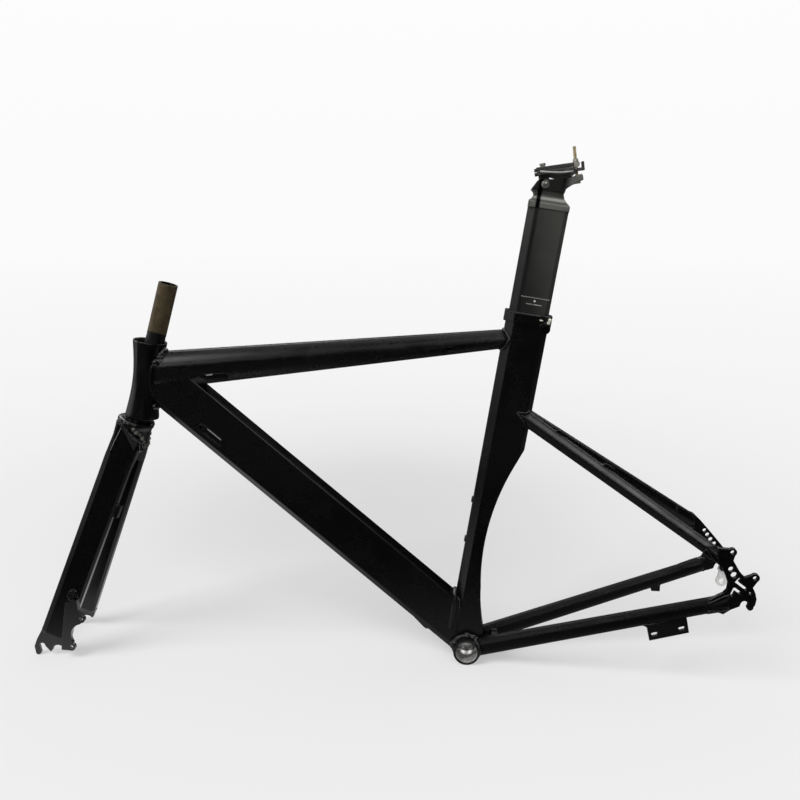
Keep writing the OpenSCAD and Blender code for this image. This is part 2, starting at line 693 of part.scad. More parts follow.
module fork_hose_guide() color(paint) blade_frame() mirror([0, 1, 0]) blade_side()
    translate([blade_d / 2, 0, -141]) difference() {
        translate([0, -5, -10]) cube([7, 10, 20]);
        translate([3.4, 0, -12]) cylinder(r = 2.6, h = 24);
        translate([3.4, -1.6, -12]) cube([10, 3.2, 24]);
    }

// seatpost
post_bottom = seat_len - post_inside;
post_wall = 2.4;
module post_tube() color(paint) difference() {
    seat_prism(post_line, post_bottom, post_top, 2);
    seat_prism(grow(post_line, -post_wall), post_bottom - 1, post_top + 1, 1.2);
}
pin_p = [-11.2, 33.4];
pin_r = 3;
pin_head_r = 5.6;
lug_r = 7;
lug_w = 9.4;
lug_gap = 0.4;
module post_place() seat_frame() translate([0, 0, post_top]) children();
// tilting bolt: leans forward from the foot of the rear arm, square to the clamp
bolt_foot = [32.9, 44.5];
clamp_tilt = 16.6;
bolt_r = 2;
bolt_up = 47.3;
bolt_head_r = 4.2;
arm_w = 18;
module bolt_place() post_place() translate([bolt_foot.x, 0, bolt_foot.y])
    rotate([0, -clamp_tilt, 0]) children();
module post_head() color(paint) difference() {
    post_place() difference() {
        side_plate(-post_w / 2, post_w / 2) polygon([[-post_chord / 2, 0], [post_chord / 2, 0],
            [post_chord / 2, 7], [post_chord / 2 - 1.4, 9.6], [19.5, 16], [16.8, 23], [18.6, 31], [25, 37],
            [32.6, 42], [39.9, 47.4], [37.8, 53.2], [35.7, 54.9], [30, 52.4], [21, 47.5], [8, 43.5],
            [-6, 41], [-15, 40.4], [-21, 37.6], [-28.4, 23.6], [-24.4, 19.6], [-23.4, 16.4], [-24.6, 13.4],
            [-post_chord / 2, 9.6]]);
        for (side = [-1, 1]) {
            translate([-far / 2, side * (post_w / 2 + 11), 17]) rotate([0, 90, 0])
                cylinder(r = 14, h = far);
            translate([14, side > 0 ? arm_w / 2 : -far - arm_w / 2, 30]) cube([far, far, far]);
        }
        side_plate(-lug_w / 2 - lug_gap, lug_w / 2 + lug_gap) {
            translate(pin_p) circle(lug_r + 0.6);
            translate([pin_p.x - lug_r - 6, pin_p.y]) square([2 * lug_r + 7, 20]);
        }
        side_bar(pin_p, pin_r, -far, far);
        side_plate(-cheek_y, cheek_y)
            polygon([[-6.5, 41], [8, 41], [21, 42], [30, 52], [29, 60], [-6.5, 60]]);
    }
    bolt_place() {
        translate([0, 0, -20]) cylinder(r = bolt_r, h = 40);
        translate([0, 0, -20]) cylinder(r = bolt_head_r + 0.4, h = 20);
    }
}
module tilt_pin() color(bolt_steel) post_place() {
    side_bar(pin_p, pin_r, -post_w / 2, post_w / 2);
    side_bar(pin_p, pin_head_r, -post_w / 2 - 2.6, -post_w / 2);
    side_bar(pin_p, pin_head_r, post_w / 2, post_w / 2 + 2.6);
}
module tilt_bolt() color(bare_steel) bolt_place() {
    cylinder(r = bolt_r, h = bolt_up);
    translate([0, 0, -3.5]) cylinder(r = bolt_head_r, h = 3.5);
}
// saddle clamp: the cradle hangs on the pin, the clamp plate closes over the rails
jaw_x1 = -21.7;
jaw_x2 = 29;
jaw_w = 10;
rail_z = 51.5;
split = 0.5;
cradle_z = 46.3;
clamp_z = 56.6;
clamp_y = rail_space / 2 + jaw_w / 2;
belly_w = 13;
screw_x = pin_p.x;
screw_z = 43;
screw_r = 2;
washer_t = 2.6;
tongue_w = 14;
cheek_y = tongue_w / 2 + 0.4;
tongue_z = 45;
tongue_top = 49.2;
slot_x1 = 32.4;
slot_x2 = 37.2;
slot_r = bolt_r + 0.6;
module clamp_place() post_place() translate([pin_p.x, 0, pin_p.y]) rotate([0, -clamp_tilt, 0])
    translate([-pin_p.x, 0, -pin_p.y]) children();
module clamp_cuts() {
    for (side = [-1, 1]) translate([jaw_x1 - 1, side * rail_space / 2, rail_z]) rotate([0, 90, 0])
        cylinder(r = rail_r, h = far);
    translate([0, 0, rail_z - 20]) linear_extrude(40) slot([slot_x1, 0], [slot_x2, 0], slot_r);
    translate([screw_x, 0, screw_z]) cylinder(r = screw_r, h = 40);
}
// both jaws and two cross bars, the rear bar from x to x + w
module clamp_outline(x, w) {
    for (side = [-1, 1]) translate([jaw_x1, side * rail_space / 2 - jaw_w / 2])
        square([jaw_x2 - jaw_x1, jaw_w]);
    translate([screw_x - 6, -clamp_y]) square([12, 2 * clamp_y]);
    translate([x, -clamp_y]) square([w, 2 * clamp_y]);
}
module saddle_cradle() color(paint) clamp_place() difference() {
    union() {
        translate([0, 0, cradle_z]) linear_extrude(rail_z - split - cradle_z) clamp_outline(13, 10.4);
        side_plate(-belly_w / 2, belly_w / 2) polygon([[-17, cradle_z + 3], [-15, 46], [-6, 42.5],
            [6, 38], [14, 36.6], [20, 35.7], [22, 35.5], [23.4, 36.4], [23.4, cradle_z + 3]]);
        side_plate(-lug_w / 2, lug_w / 2) {
            translate(pin_p) circle(lug_r);
            translate([pin_p.x - lug_r, pin_p.y]) square([2 * lug_r, cradle_z - pin_p.y]);
        }
    }
    clamp_cuts();
    side_bar(pin_p, pin_r + 0.05, -far, far);
}
nut_room = 1.9;
bolt_x = pin_p.x + (bolt_foot.x - pin_p.x) * cos(clamp_tilt) + (bolt_foot.y - pin_p.y) * sin(clamp_tilt);
module saddle_clamp() color(paint) clamp_place() difference() {
    union() {
        translate([0, 0, rail_z + split]) linear_extrude(clamp_z - rail_z - split)
            clamp_outline(18, jaw_x2 - 18);
        side_plate(-tongue_w / 2, tongue_w / 2) polygon([[24, clamp_z], [24, 36.9], [27.5, 39.1],
            [31, 41.6], [33, tongue_z], [45, tongue_z], [45, 57], [42.4, 57], [42.4, tongue_top],
            [jaw_x2, tongue_top], [jaw_x2, clamp_z]]);
    }
    clamp_cuts();
    translate([bolt_x - barrel_r - nut_room, -tongue_w / 2 - barrel_gap, tongue_top])
        cube([barrel_r + nut_room, tongue_w + 2 * barrel_gap, far]);
}
module clamp_screw() color(bolt_steel) clamp_place() translate([screw_x, 0, 0]) difference() {
    union() {
        translate([0, 0, screw_z]) cylinder(r = screw_r, h = clamp_z + washer_t - screw_z);
        translate([0, 0, clamp_z + washer_t]) cylinder(r = 4.3, h = 2.8);
    }
    translate([0, 0, clamp_z + washer_t + 1]) cylinder(r = 2.3, h = 4, $fn = 6);
}
module clamp_washer() color(bolt_steel) clamp_place() translate([screw_x, 0, clamp_z]) difference() {
    cylinder(r = 3.4, h = washer_t);
    translate([0, 0, -1]) cylinder(r = screw_r, h = washer_t + 2);
}
// nuts on the tilting bolt, just above the tongue of the clamp plate
barrel_r = 4.7;
barrel_gap = 0.5;
nut_run = 0.05;
foot_z = pin_p.y + (bolt_foot.y - pin_p.y) * cos(clamp_tilt) - (bolt_foot.x - pin_p.x) * sin(clamp_tilt);
barrel_up = tongue_top + barrel_gap + barrel_r - foot_z;
barrel_flat = 3;
module barrel_nut() color(bolt_steel) bolt_place() difference() {
    translate([0, -tongue_w / 2, barrel_up]) rotate([-90, 0, 0]) cylinder(r = barrel_r, h = tongue_w);
    cylinder(r = bolt_r + nut_run, h = far);
    translate([-barrel_r - 1, -tongue_w / 2 - 1, barrel_up + barrel_flat])
        cube([2 * barrel_r + 2, tongue_w + 2, barrel_r]);
}
module dome_nut() color(bolt_steel) bolt_place() translate([0, 0, barrel_up + barrel_flat]) difference() {
    rotate_extrude() polygon([[0, 0], [3.9, 0], [3.9, 1.8], [3.5, 3.6], [2.9, 5], [0, 5.2]]);
    translate([0, 0, -1]) cylinder(r = bolt_r + nut_run, h = 8);
}

head_tube();
top_tube();
down_tube();
seat_tube();
bb_shell();
left_chainstay();
right_chainstay();
left_seatstay();
right_seatstay();
seatstay_bridge();
chainstay_bridge();
left_dropout();
right_dropout();
derailleur_hanger();
hanger_bolts();
kickstand_plate();
seatstay_hose_guide();
chainstay_cable_guide();
top_front_port();
top_rear_port();
down_tube_port();
down_tube_outlet();
bottle_bosses();
seat_collar();
collar_screw();
steerer();
fork_crown();
crown_race();
left_blade();
right_blade();
left_fork_tip();
right_fork_tip();
fork_brake_mount();
fork_hose_guide();
fork_eyelet();
post_tube();
post_head();
tilt_pin();
tilt_bolt();
saddle_cradle();
saddle_clamp();
clamp_screw();
clamp_washer();
barrel_nut();
dome_nut();
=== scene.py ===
import json
import math
import bpy
import bmesh
from mathutils import Matrix, Vector
from mathutils.bvhtree import BVHTree


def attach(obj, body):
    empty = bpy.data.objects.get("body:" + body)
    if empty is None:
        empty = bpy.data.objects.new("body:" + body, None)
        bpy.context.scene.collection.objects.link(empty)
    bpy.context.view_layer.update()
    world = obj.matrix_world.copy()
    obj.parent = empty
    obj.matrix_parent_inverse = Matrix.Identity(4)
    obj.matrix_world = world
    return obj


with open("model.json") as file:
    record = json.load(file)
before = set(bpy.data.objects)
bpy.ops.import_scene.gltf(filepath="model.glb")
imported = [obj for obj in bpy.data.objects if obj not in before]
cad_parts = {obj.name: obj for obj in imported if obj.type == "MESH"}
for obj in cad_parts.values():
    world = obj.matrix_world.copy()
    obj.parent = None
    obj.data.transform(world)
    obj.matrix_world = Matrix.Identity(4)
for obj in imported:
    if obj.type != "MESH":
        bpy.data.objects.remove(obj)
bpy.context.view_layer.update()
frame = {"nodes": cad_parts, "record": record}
nodes = frame["nodes"]
mounts = {mount["name"]: mount for mount in frame["record"]["mounts"]}
scene = bpy.context.scene
mm = 0.001
print("frame loaded:", len(nodes), "nodes")


def hexColour(code):
    parts = [int(code[i:i + 2], 16) / 255 for i in (1, 3, 5)]
    linear = [c / 12.92 if c <= 0.04045 else ((c + 0.055) / 1.055) ** 2.4 for c in parts]
    return (*linear, 1.0)


def addNode(tree, kind, settings=None, links=None):
    node = tree.nodes.new("ShaderNode" + kind)
    for key, value in (settings or {}).items():
        if isinstance(key, str) and hasattr(node, key):
            setattr(node, key, value)
        else:
            node.inputs[key].default_value = value
    for key, source in (links or {}).items():
        # a node on its own stands for its first output
        socket = source.outputs[0] if isinstance(source, bpy.types.Node) else source
        tree.links.new(socket, node.inputs[key])
    return node


def newMaterial(name):
    material = bpy.data.materials.new(name)
    material.use_nodes = True
    material.node_tree.nodes.clear()
    return material, material.node_tree


# camera of the photograph
photoCamera = {"lens": 39.71, "sensor": 36, "near": 0.05, "far": 60,
               "place": (-0.00083, -1.2832, 0.6631), "look": (-0.0793, 0.9748, -0.2086)}
cameraData = bpy.data.cameras.new("photoCamera")
cameraData.lens = photoCamera["lens"]
cameraData.sensor_width = photoCamera["sensor"]
cameraData.clip_start = photoCamera["near"]
cameraData.clip_end = photoCamera["far"]
camera = bpy.data.objects.new("photoCamera", cameraData)
camera.location = photoCamera["place"]
camera.rotation_euler = Vector(photoCamera["look"]).to_track_quat("-Z", "Y").to_euler()
scene.collection.objects.link(camera)
scene.camera = camera

# powder-coated aluminium: satin black with a fine orange peel, duller patches,
# a few pale dust flecks where it faces up, and rounded edges that catch the light
paint = {"black": "#060607", "dust": "#4a4a48", "dustMost": 0.45, "peelMm": 1.1, "peelDepthMm": 0.06,
         "patchMm": 38, "fleckMm": 2.2, "smoother": 0.06, "rougher": 0.08, "paintedLight": 0.02}


def makePaint(name, rough, edgeMm=1.3, bare=None, sheen=0.5, dull=None):
    # bare: a zone left unpainted, as a radius about an axis in mm, with the metal that shows there
    # dull: the way a side faces which is kept black, painted shade made by cutting its sheen there
    material, tree = newMaterial(name)
    coord = addNode(tree, "TexCoord").outputs["Object"]
    peel = addNode(tree, "TexNoise", {"Scale": 1 / (paint["peelMm"] * mm), "Detail": 2.0}, {"Vector": coord})
    patch = addNode(tree, "TexNoise", {"Scale": 1 / (paint["patchMm"] * mm), "Detail": 6.0, "Roughness": 0.62},
                    {"Vector": coord})
    speck = addNode(tree, "TexVoronoi", {"Scale": 1 / (paint["fleckMm"] * mm)}, {"Vector": coord})
    fleck = addNode(tree, "MapRange", {"From Min": 0.04, "From Max": 0.1, "To Min": 1.0, "To Max": 0.0},
                    {"Value": speck.outputs["Distance"]})
    geometry = addNode(tree, "NewGeometry")
    up = addNode(tree, "SeparateXYZ", None, {0: geometry.outputs["Normal"]}).outputs["Z"]
    lying = addNode(tree, "MapRange", {"From Min": 0.15, "From Max": 1.0, "To Min": 0.0, "To Max": paint["dustMost"]},
                    {"Value": up})
    dust = addNode(tree, "Math", {"operation": "MULTIPLY"}, {0: fleck, 1: lying})
    colour = addNode(tree, "Mix", {"data_type": "RGBA", 6: hexColour(paint["black"]), 7: hexColour(paint["dust"])},
                     {0: dust}).outputs[2]
    gloss = addNode(tree, "MapRange", {"From Min": 0.3, "From Max": 0.7, "To Min": rough - paint["smoother"],
                                       "To Max": rough + paint["rougher"]}, {"Value": patch})
    edge = addNode(tree, "Bevel", {"samples": 8, "Radius": edgeMm * mm})
    bump = addNode(tree, "Bump", {"Strength": 0.1, "Distance": paint["peelDepthMm"] * mm},
                   {"Height": peel, "Normal": edge})
    metal = None
    if bare:
        offset = addNode(tree, "VectorMath", {"operation": "SUBTRACT", 1: bare["point"]}, {0: coord})
        across = addNode(tree, "VectorMath", {"operation": "CROSS_PRODUCT", 1: bare["axis"]}, {0: offset})
        away = addNode(tree, "VectorMath", {"operation": "LENGTH"}, {0: across}).outputs["Value"]
        ragged = addNode(tree, "Math", {"operation": "MULTIPLY_ADD", 1: bare["ragged"] * mm}, {0: patch, 2: away})
        metal = addNode(tree, "Math", {"operation": "LESS_THAN", 1: (bare["radius"] + bare["ragged"] / 2) * mm},
                        {0: ragged})
        if bare.get("inside"):
            # only the walls that face the axis
            facing = addNode(tree, "VectorMath", {"operation": "DOT_PRODUCT"},
                             {0: geometry.outputs["True Normal"], 1: offset})
            inward = addNode(tree, "Math", {"operation": "LESS_THAN", 1: 0.0}, {0: facing.outputs["Value"]})
            metal = addNode(tree, "Math", {"operation": "MULTIPLY"}, {0: metal, 1: inward})
        colour = addNode(tree, "Mix", {"data_type": "RGBA", 7: hexColour(bare["colour"])},
                         {0: metal, 6: colour}).outputs[2]
        gloss = addNode(tree, "Mix", {3: bare["rough"]}, {0: metal, 2: gloss})
    shader = addNode(tree, "BsdfPrincipled", {"IOR": 1.5, "Specular IOR Level": sheen},
                     {"Base Color": colour, "Roughness": gloss, "Normal": bump})
    if dull:
        # painted shade: the sheen falls to almost nothing on faces turned towards dull
        turned = addNode(tree, "VectorMath", {"operation": "DOT_PRODUCT", 1: dull},
                         {0: geometry.outputs["True Normal"]})
        paintedLight = addNode(tree, "MapRange", {"From Min": 0.3, "From Max": 0.55, "To Min": sheen,
                                            "To Max": paint["paintedLight"]}, {"Value": turned.outputs["Value"]})
        tree.links.new(paintedLight.outputs[0], shader.inputs["Specular IOR Level"])
    if metal:
        tree.links.new(metal.outputs[0], shader.inputs["Metallic"])
    addNode(tree, "OutputMaterial", None, {"Surface": shader})
    return material


# the loose fork leans further than the head tube, so each has its own axis
forkAxis = Vector(mounts["steerer_end"]["axis"]).normalized()
steererMiddle = Vector(mounts["steerer_end"]["pos_m"])
headTube = {"lean": math.radians(9.6), "top": (-482.5, 0, 473), "halfLong": 59}
headAxis = Vector((math.sin(headTube["lean"]), 0, math.cos(headTube["lean"])))
headPoint = Vector(headTube["top"]) * mm - headAxis * headTube["halfLong"] * mm

framePaint = makePaint("powder-coated aluminium", 0.25)
# the drawn tubes have soft corners, so the light rolls over them
tubePaint = makePaint("powder-coated drawn tube", 0.25, 6.0)
topPaint = makePaint("powder-coated top tube", 0.25, 14.0)
# crisp edges, and one side of each kept black as painted shade, its sheen cut
plainPaint = makePaint("powder-coated down tube", 0.25, 0.02, dull=(0, 0, 1))
bladePaint = makePaint("powder-coated fork blade", 0.25, 0.3, sheen=0.25, dull=tuple(-forkAxis))
# low down the coat is scuffed and shines less
stayPaint = makePaint("powder-coated scuffed stay", 0.27, 10.0, sheen=0.2)
# thick over the beads, so it shines more
weldPaint = makePaint("powder-coated weld bead", 0.2, 0.4, sheen=0.9)
# bright metal inside the shell and the head tube
shellPaint = makePaint("powder-coated shell with a tapped bore", 0.25,
                       bare={"point": (0, 0, 0), "axis": (0, 1, 0), "radius": 17.75, "ragged": 0.1,
                             "colour": "#dcdbd8", "rough": 0.3})
headPaint = makePaint("powder-coated head tube with reamed seats", 0.25,
                      bare={"point": tuple(headPoint), "axis": tuple(headAxis), "radius": 22.4, "ragged": 0.5,
                            "colour": "#a8a59c", "rough": 0.38, "inside": True})

# painted shading of the post, placed in mm behind its middle and up its length:
# a dark band behind the nose as painted shade, painted shading darker towards nose and foot, and painted shade over the
# block above the neck
postLean = math.radians(8.85)
postUp = Vector((math.sin(postLean), 0, math.cos(postLean)))
postBack = Vector((math.cos(postLean), 0, -math.sin(postLean)))
postPaintedShade = {"shadeBand": "#020202", "bandFrom": -18.5, "bandTo": -14.5, "bandSoft": 2.2,
             "noseAt": -15, "backAt": 26, "nose": -0.2, "back": 0.38,
             "footAt": 540, "topAt": 670, "foot": -0.2, "top": 0.25,
             "shadedBlock": "#343433", "blockFrom": 697, "blockFull": 700, "armFrom": 17, "armFull": 25}
# what the anodised finishes share
anodised = {"cloudMm": 30, "grainHeightMm": 0.05, "smoother": 0.06, "rougher": 0.08}


def makeAnodised(name, light, dark, rough, grainMm, grainDepth, edgeMm, metallic, shadeBand=True, paintedFade=False, shadedBlock=False):
    material, tree = newMaterial(name)
    coord = addNode(tree, "TexCoord").outputs["Object"]
    grain = addNode(tree, "TexNoise", {"Scale": 1 / (grainMm * mm), "Detail": 3.0}, {"Vector": coord})
    cloud = addNode(tree, "TexNoise", {"Scale": 1 / (anodised["cloudMm"] * mm), "Detail": 5.0}, {"Vector": coord})
    behind, height = [addNode(tree, "VectorMath", {"operation": "DOT_PRODUCT", 1: tuple(way)},
                              {0: coord}).outputs["Value"] for way in (postBack, postUp)]
    tone = cloud
    # painted shading: darker towards the nose and the foot, lighter towards the back and the top
    if paintedFade:
        rear = addNode(tree, "MapRange", {"From Min": postPaintedShade["noseAt"] * mm, "From Max": postPaintedShade["backAt"] * mm,
                                          "To Min": postPaintedShade["nose"], "To Max": postPaintedShade["back"]}, {"Value": behind})
        lifted = addNode(tree, "MapRange", {"From Min": postPaintedShade["footAt"] * mm, "From Max": postPaintedShade["topAt"] * mm,
                                            "To Min": postPaintedShade["foot"], "To Max": postPaintedShade["top"]}, {"Value": height})
        clouded = addNode(tree, "Math", {"operation": "MULTIPLY_ADD", 1: 0.5}, {0: cloud, 2: rear})
        tone = addNode(tree, "Math", {"operation": "ADD"}, {0: clouded, 1: lifted})
    colour = addNode(tree, "Mix", {"data_type": "RGBA", 6: hexColour(dark), 7: hexColour(light)}, {0: tone}).outputs[2]
    if shadedBlock:
        # painted shade over the block above the neck; the arm behind the block is kept out of it and stays pale
        over = addNode(tree, "MapRange", {"From Min": postPaintedShade["blockFrom"] * mm,
                                          "From Max": postPaintedShade["blockFull"] * mm}, {"Value": height})
        ahead = addNode(tree, "MapRange", {"From Min": postPaintedShade["armFull"] * mm,
                                           "From Max": postPaintedShade["armFrom"] * mm}, {"Value": behind})
        # the darkened block is painted shade, not a blackened finish
        blackened = addNode(tree, "Math", {"operation": "MULTIPLY"}, {0: over, 1: ahead})
        colour = addNode(tree, "Mix", {"data_type": "RGBA", 7: hexColour(postPaintedShade["shadedBlock"])},
                         {0: blackened, 6: colour}).outputs[2]
    if shadeBand:
        start, end = [addNode(tree, "MapRange", {"From Min": (postPaintedShade[at] + soft) * mm,
                                                 "From Max": postPaintedShade[at] * mm}, {"Value": behind})
                      for at, soft in (("bandFrom", -postPaintedShade["bandSoft"]), ("bandTo", postPaintedShade["bandSoft"]))]
        # the dark band is painted shade, not a polish
        polished = addNode(tree, "Math", {"operation": "MULTIPLY"}, {0: start, 1: end})
        colour = addNode(tree, "Mix", {"data_type": "RGBA", 7: hexColour(postPaintedShade["shadeBand"])},
                         {0: polished, 6: colour}).outputs[2]
    gloss = addNode(tree, "MapRange", {"To Min": rough - anodised["smoother"],
                                       "To Max": rough + anodised["rougher"]}, {"Value": cloud})
    edge = addNode(tree, "Bevel", {"samples": 6, "Radius": edgeMm * mm})
    bump = addNode(tree, "Bump", {"Strength": grainDepth, "Distance": anodised["grainHeightMm"] * mm},
                   {"Height": grain, "Normal": edge})
    shader = addNode(tree, "BsdfPrincipled", {"Metallic": metallic},
                     {"Base Color": colour, "Roughness": gloss, "Normal": bump})
    addNode(tree, "OutputMaterial", None, {"Surface": shader})
    return material


# bead-blasted and anodised tube: dull charcoal with a fine grain and a soft sheen, no mirror in it; painted shading
# darkens it towards nose and foot, with a painted shade band behind the nose
postFinish = makeAnodised("bead-blasted anodised aluminium", "#42423e", "#141413", 0.42, 0.7, 0.18, 0.8, 0.0, paintedFade=True)
# forged and anodised head: smoother, with broad soft edges; painted shade over its block above the neck and in the band
# behind the nose
headFinish = makeAnodised("forged anodised aluminium", "#9a9a95", "#7c7c78", 0.38, 1.1, 0.1, 2.5, 0.9, shadedBlock=True)
# polished and anodised clamps: smooth, and bright along every edge
clampFinish = makeAnodised("polished anodised aluminium", "#8e8e8a", "#6c6c69", 0.2, 1.1, 0.08, 0.8, 0.85, shadeBand=False)

# drawn steel tube: brown oxide with fine lengthwise streaks, black paint on its foot, the bore scaled almost black
tube = {"brown": "#62563f", "dark": "#3f3628", "scale": "#17130e", "streakMm": 1.4, "streakLong": 0.03, "blotchMm": 14,
        "bareMm": 34, "waveMm": 9, "boreMm": 12.2, "metallic": 0.4}
steel, steelTree = newMaterial("drawn steel tube with a painted foot")
steelCoord = addNode(steelTree, "TexCoord").outputs["Object"]
forkLean = math.atan2(forkAxis.x, forkAxis.z)
upright = addNode(steelTree, "Mapping", {"Rotation": (0, -forkLean, 0)}, {"Vector": steelCoord})
drawn = addNode(steelTree, "Mapping", {"Scale": (1, 1, tube["streakLong"])}, {"Vector": upright})
streak = addNode(steelTree, "TexNoise", {"Scale": 1 / (tube["streakMm"] * mm), "Detail": 4.0}, {"Vector": drawn})
blotch = addNode(steelTree, "TexNoise", {"Scale": 1 / (tube["blotchMm"] * mm), "Detail": 6.0}, {"Vector": steelCoord})
oxide = addNode(steelTree, "Math", {"operation": "MULTIPLY_ADD", 1: 0.5}, {0: streak, 2: blotch})
oxideShare = addNode(steelTree, "MapRange", {"From Min": 0.5, "From Max": 1.0}, {"Value": oxide})
brown = addNode(steelTree, "Mix", {"data_type": "RGBA", 6: hexColour(tube["dark"]), 7: hexColour(tube["brown"])},
                {0: oxideShare}).outputs[2]
along = addNode(steelTree, "VectorMath", {"operation": "DOT_PRODUCT", 1: tuple(forkAxis)}, {0: steelCoord})
wavy = addNode(steelTree, "Math", {"operation": "MULTIPLY_ADD", 1: tube["waveMm"] * mm},
               {0: blotch, 2: along.outputs["Value"]})
paintTop = steererMiddle.dot(forkAxis) - tube["bareMm"] * mm + tube["waveMm"] / 2 * mm
painted = addNode(steelTree, "Math", {"operation": "LESS_THAN", 1: paintTop}, {0: wavy})
fromMiddle = addNode(steelTree, "VectorMath", {"operation": "SUBTRACT", 1: tuple(steererMiddle)}, {0: steelCoord})
fromAxis = addNode(steelTree, "VectorMath", {"operation": "CROSS_PRODUCT", 1: tuple(forkAxis)}, {0: fromMiddle})
outward = addNode(steelTree, "VectorMath", {"operation": "LENGTH"}, {0: fromAxis}).outputs["Value"]
bored = addNode(steelTree, "Math", {"operation": "LESS_THAN", 1: tube["boreMm"] * mm}, {0: outward})
scaled = addNode(steelTree, "Mix", {"data_type": "RGBA", 7: hexColour(tube["scale"])}, {0: bored, 6: brown}).outputs[2]
tubeColour = addNode(steelTree, "Mix", {"data_type": "RGBA", 7: hexColour(paint["black"])},
                     {0: painted, 6: scaled}).outputs[2]
tubeMetal = addNode(steelTree, "Math", {"operation": "MULTIPLY_ADD", 1: -tube["metallic"], 2: tube["metallic"]},
                    {0: painted})
tubeGloss = addNode(steelTree, "MapRange", {"To Min": 0.34, "To Max": 0.5}, {"Value": streak})
tubeBump = addNode(steelTree, "Bump", {"Strength": 0.15, "Distance": 0.04 * mm}, {"Height": streak})
tubeShader = addNode(steelTree, "BsdfPrincipled", None,
                     {"Base Color": tubeColour, "Metallic": tubeMetal, "Roughness": tubeGloss, "Normal": tubeBump})
addNode(steelTree, "OutputMaterial", None, {"Surface": tubeShader})

# what the bare and plated metals share
metalMarks = {"stainMm": 9, "heightMm": 0.05, "edgeMm": 0.4, "smoother": 0.08, "rougher": 0.1}


def makeMetal(name, light, dark, rough, markMm, stretch=(1, 1, 1), metallic=1.0):
    # cloudy between two tones, with fine marks that stretch can lay in one direction
    material, tree = newMaterial(name)
    coord = addNode(tree, "TexCoord").outputs["Object"]
    laid = addNode(tree, "Mapping", {"Scale": stretch}, {"Vector": coord})
    mark = addNode(tree, "TexNoise", {"Scale": 1 / (markMm * mm), "Detail": 5.0}, {"Vector": laid})
    stain = addNode(tree, "TexNoise", {"Scale": 1 / (metalMarks["stainMm"] * mm), "Detail": 5.0}, {"Vector": coord})
    share = addNode(tree, "MapRange", {"From Min": 0.35, "From Max": 0.65}, {"Value": stain})
    colour = addNode(tree, "Mix", {"data_type": "RGBA", 6: hexColour(dark), 7: hexColour(light)}, {0: share}).outputs[2]
    gloss = addNode(tree, "MapRange", {"To Min": rough - metalMarks["smoother"],
                                       "To Max": rough + metalMarks["rougher"]}, {"Value": mark})
    edge = addNode(tree, "Bevel", {"samples": 4, "Radius": metalMarks["edgeMm"] * mm})
    bump = addNode(tree, "Bump", {"Strength": 0.12, "Distance": metalMarks["heightMm"] * mm},
                   {"Height": mark, "Normal": edge})
    shader = addNode(tree, "BsdfPrincipled", {"Metallic": metallic},
                     {"Base Color": colour, "Roughness": gloss, "Normal": bump})
    addNode(tree, "OutputMaterial", None, {"Surface": shader})
    return material


# forged and tumbled aluminium: pale and matt, with faint mill marks
alloy = makeMetal("tumbled bare aluminium", "#f0f0ee", "#e2e2df", 0.5, 0.8, (1, 1, 6), 0.15)
# turned thread: bright, marks run round the bore
threadMetal = makeMetal("tapped bright aluminium", "#cfcecb", "#8f8e8b", 0.25, 0.6, (1, 8, 1), 0.5)
# zinc-plated steel: a little yellow and cloudy
plated = makeMetal("zinc-plated steel", "#b4b1a7", "#86837a", 0.3, 1.2, metallic=0.5)
# black-oxide steel: near black with a soft oily shine
blackSteel = makeMetal("black-oxide steel", "#2a2a2b", "#171718", 0.34, 1.0)
# passivated steel stud: straw colour, dull
studSteel = makeMetal("passivated steel stud", "#d2c19a", "#a08f69", 0.36, 0.9, metallic=0.5)
# turned pin: grey with a soft ring of light
pinSteel = makeMetal("turned blackened pin", "#a3a19a", "#6e6c67", 0.3, 0.8, (1, 6, 1), 0.8)
# polished nickel-plated steel, nearly white, the white partly a painted highlight
platedGlintSteel = makeMetal("nickel-plated steel", "#f4f2e4", "#d8d6c8", 0.3, 1.2, metallic=0.3)
# coated weld painted with coarse grey and black clouds, a painted highlight where it would reflect the light
glintPaintedWeld = makeMetal("glintPainted coated weld", "#77776f", "#2c2c2a", 0.35, 2.0, metallic=0.3)
# painted highlight along an edge: a grey line
highlightPaintedEdge = makeMetal("rubbed aluminium edge", "#8c8c88", "#6c6c69", 0.4, 0.8, metallic=0.3)
# lip painted pale as a highlight, with a clear line of light
highlightPaintedLip = makeMetal("highlightPainted aluminium lip", "#cfcfcb", "#a9a9a5", 0.3, 0.8, metallic=0.5)

slotMaterials = {"black_paint": framePaint, "black_anodised": postFinish, "bare_steel": steel, "bare_alloy": alloy,
                 "bolt_steel": plated}
ownFinish = {"bb_shell": shellPaint, "head_tube": headPaint, "top_tube": topPaint, "down_tube": plainPaint,
             "left_chainstay": stayPaint, "right_chainstay": stayPaint,
             "left_seatstay": tubePaint, "right_seatstay": tubePaint,
             "left_blade": bladePaint, "right_blade": bladePaint, "fork_crown": tubePaint,
             "hanger_bolts": blackSteel, "collar_screw": blackSteel, "tilt_bolt": studSteel, "tilt_pin": pinSteel,
             "post_head": headFinish, "saddle_cradle": clampFinish, "saddle_clamp": clampFinish}
for part in frame["record"]["subparts"]:
    cadObject = nodes[part["node"]]
    cadObject.data.materials.clear()
    cadObject.data.materials.append(ownFinish.get(part["node"], slotMaterials[part["material_slot"]]))
print("finishes on", len(nodes), "nodes")


def addPiece(name, bm, material, body, smooth=40):
    mesh = bpy.data.meshes.new(name)
    bm.to_mesh(mesh)
    bm.free()
    mesh.materials.append(material)
    piece = bpy.data.objects.new(name, mesh)
    scene.collection.objects.link(piece)
    if smooth:
        mesh.polygons.foreach_set("use_smooth", [True] * len(mesh.polygons))
        mesh.set_sharp_from_angle(angle=math.radians(smooth))
    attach(piece, body)
    return piece


def nodeMesh(name):
    bm = bmesh.new()
    bm.from_mesh(nodes[name].data)
    bmesh.ops.remove_doubles(bm, verts=bm.verts[:], dist=0.005 * mm)
    return bm


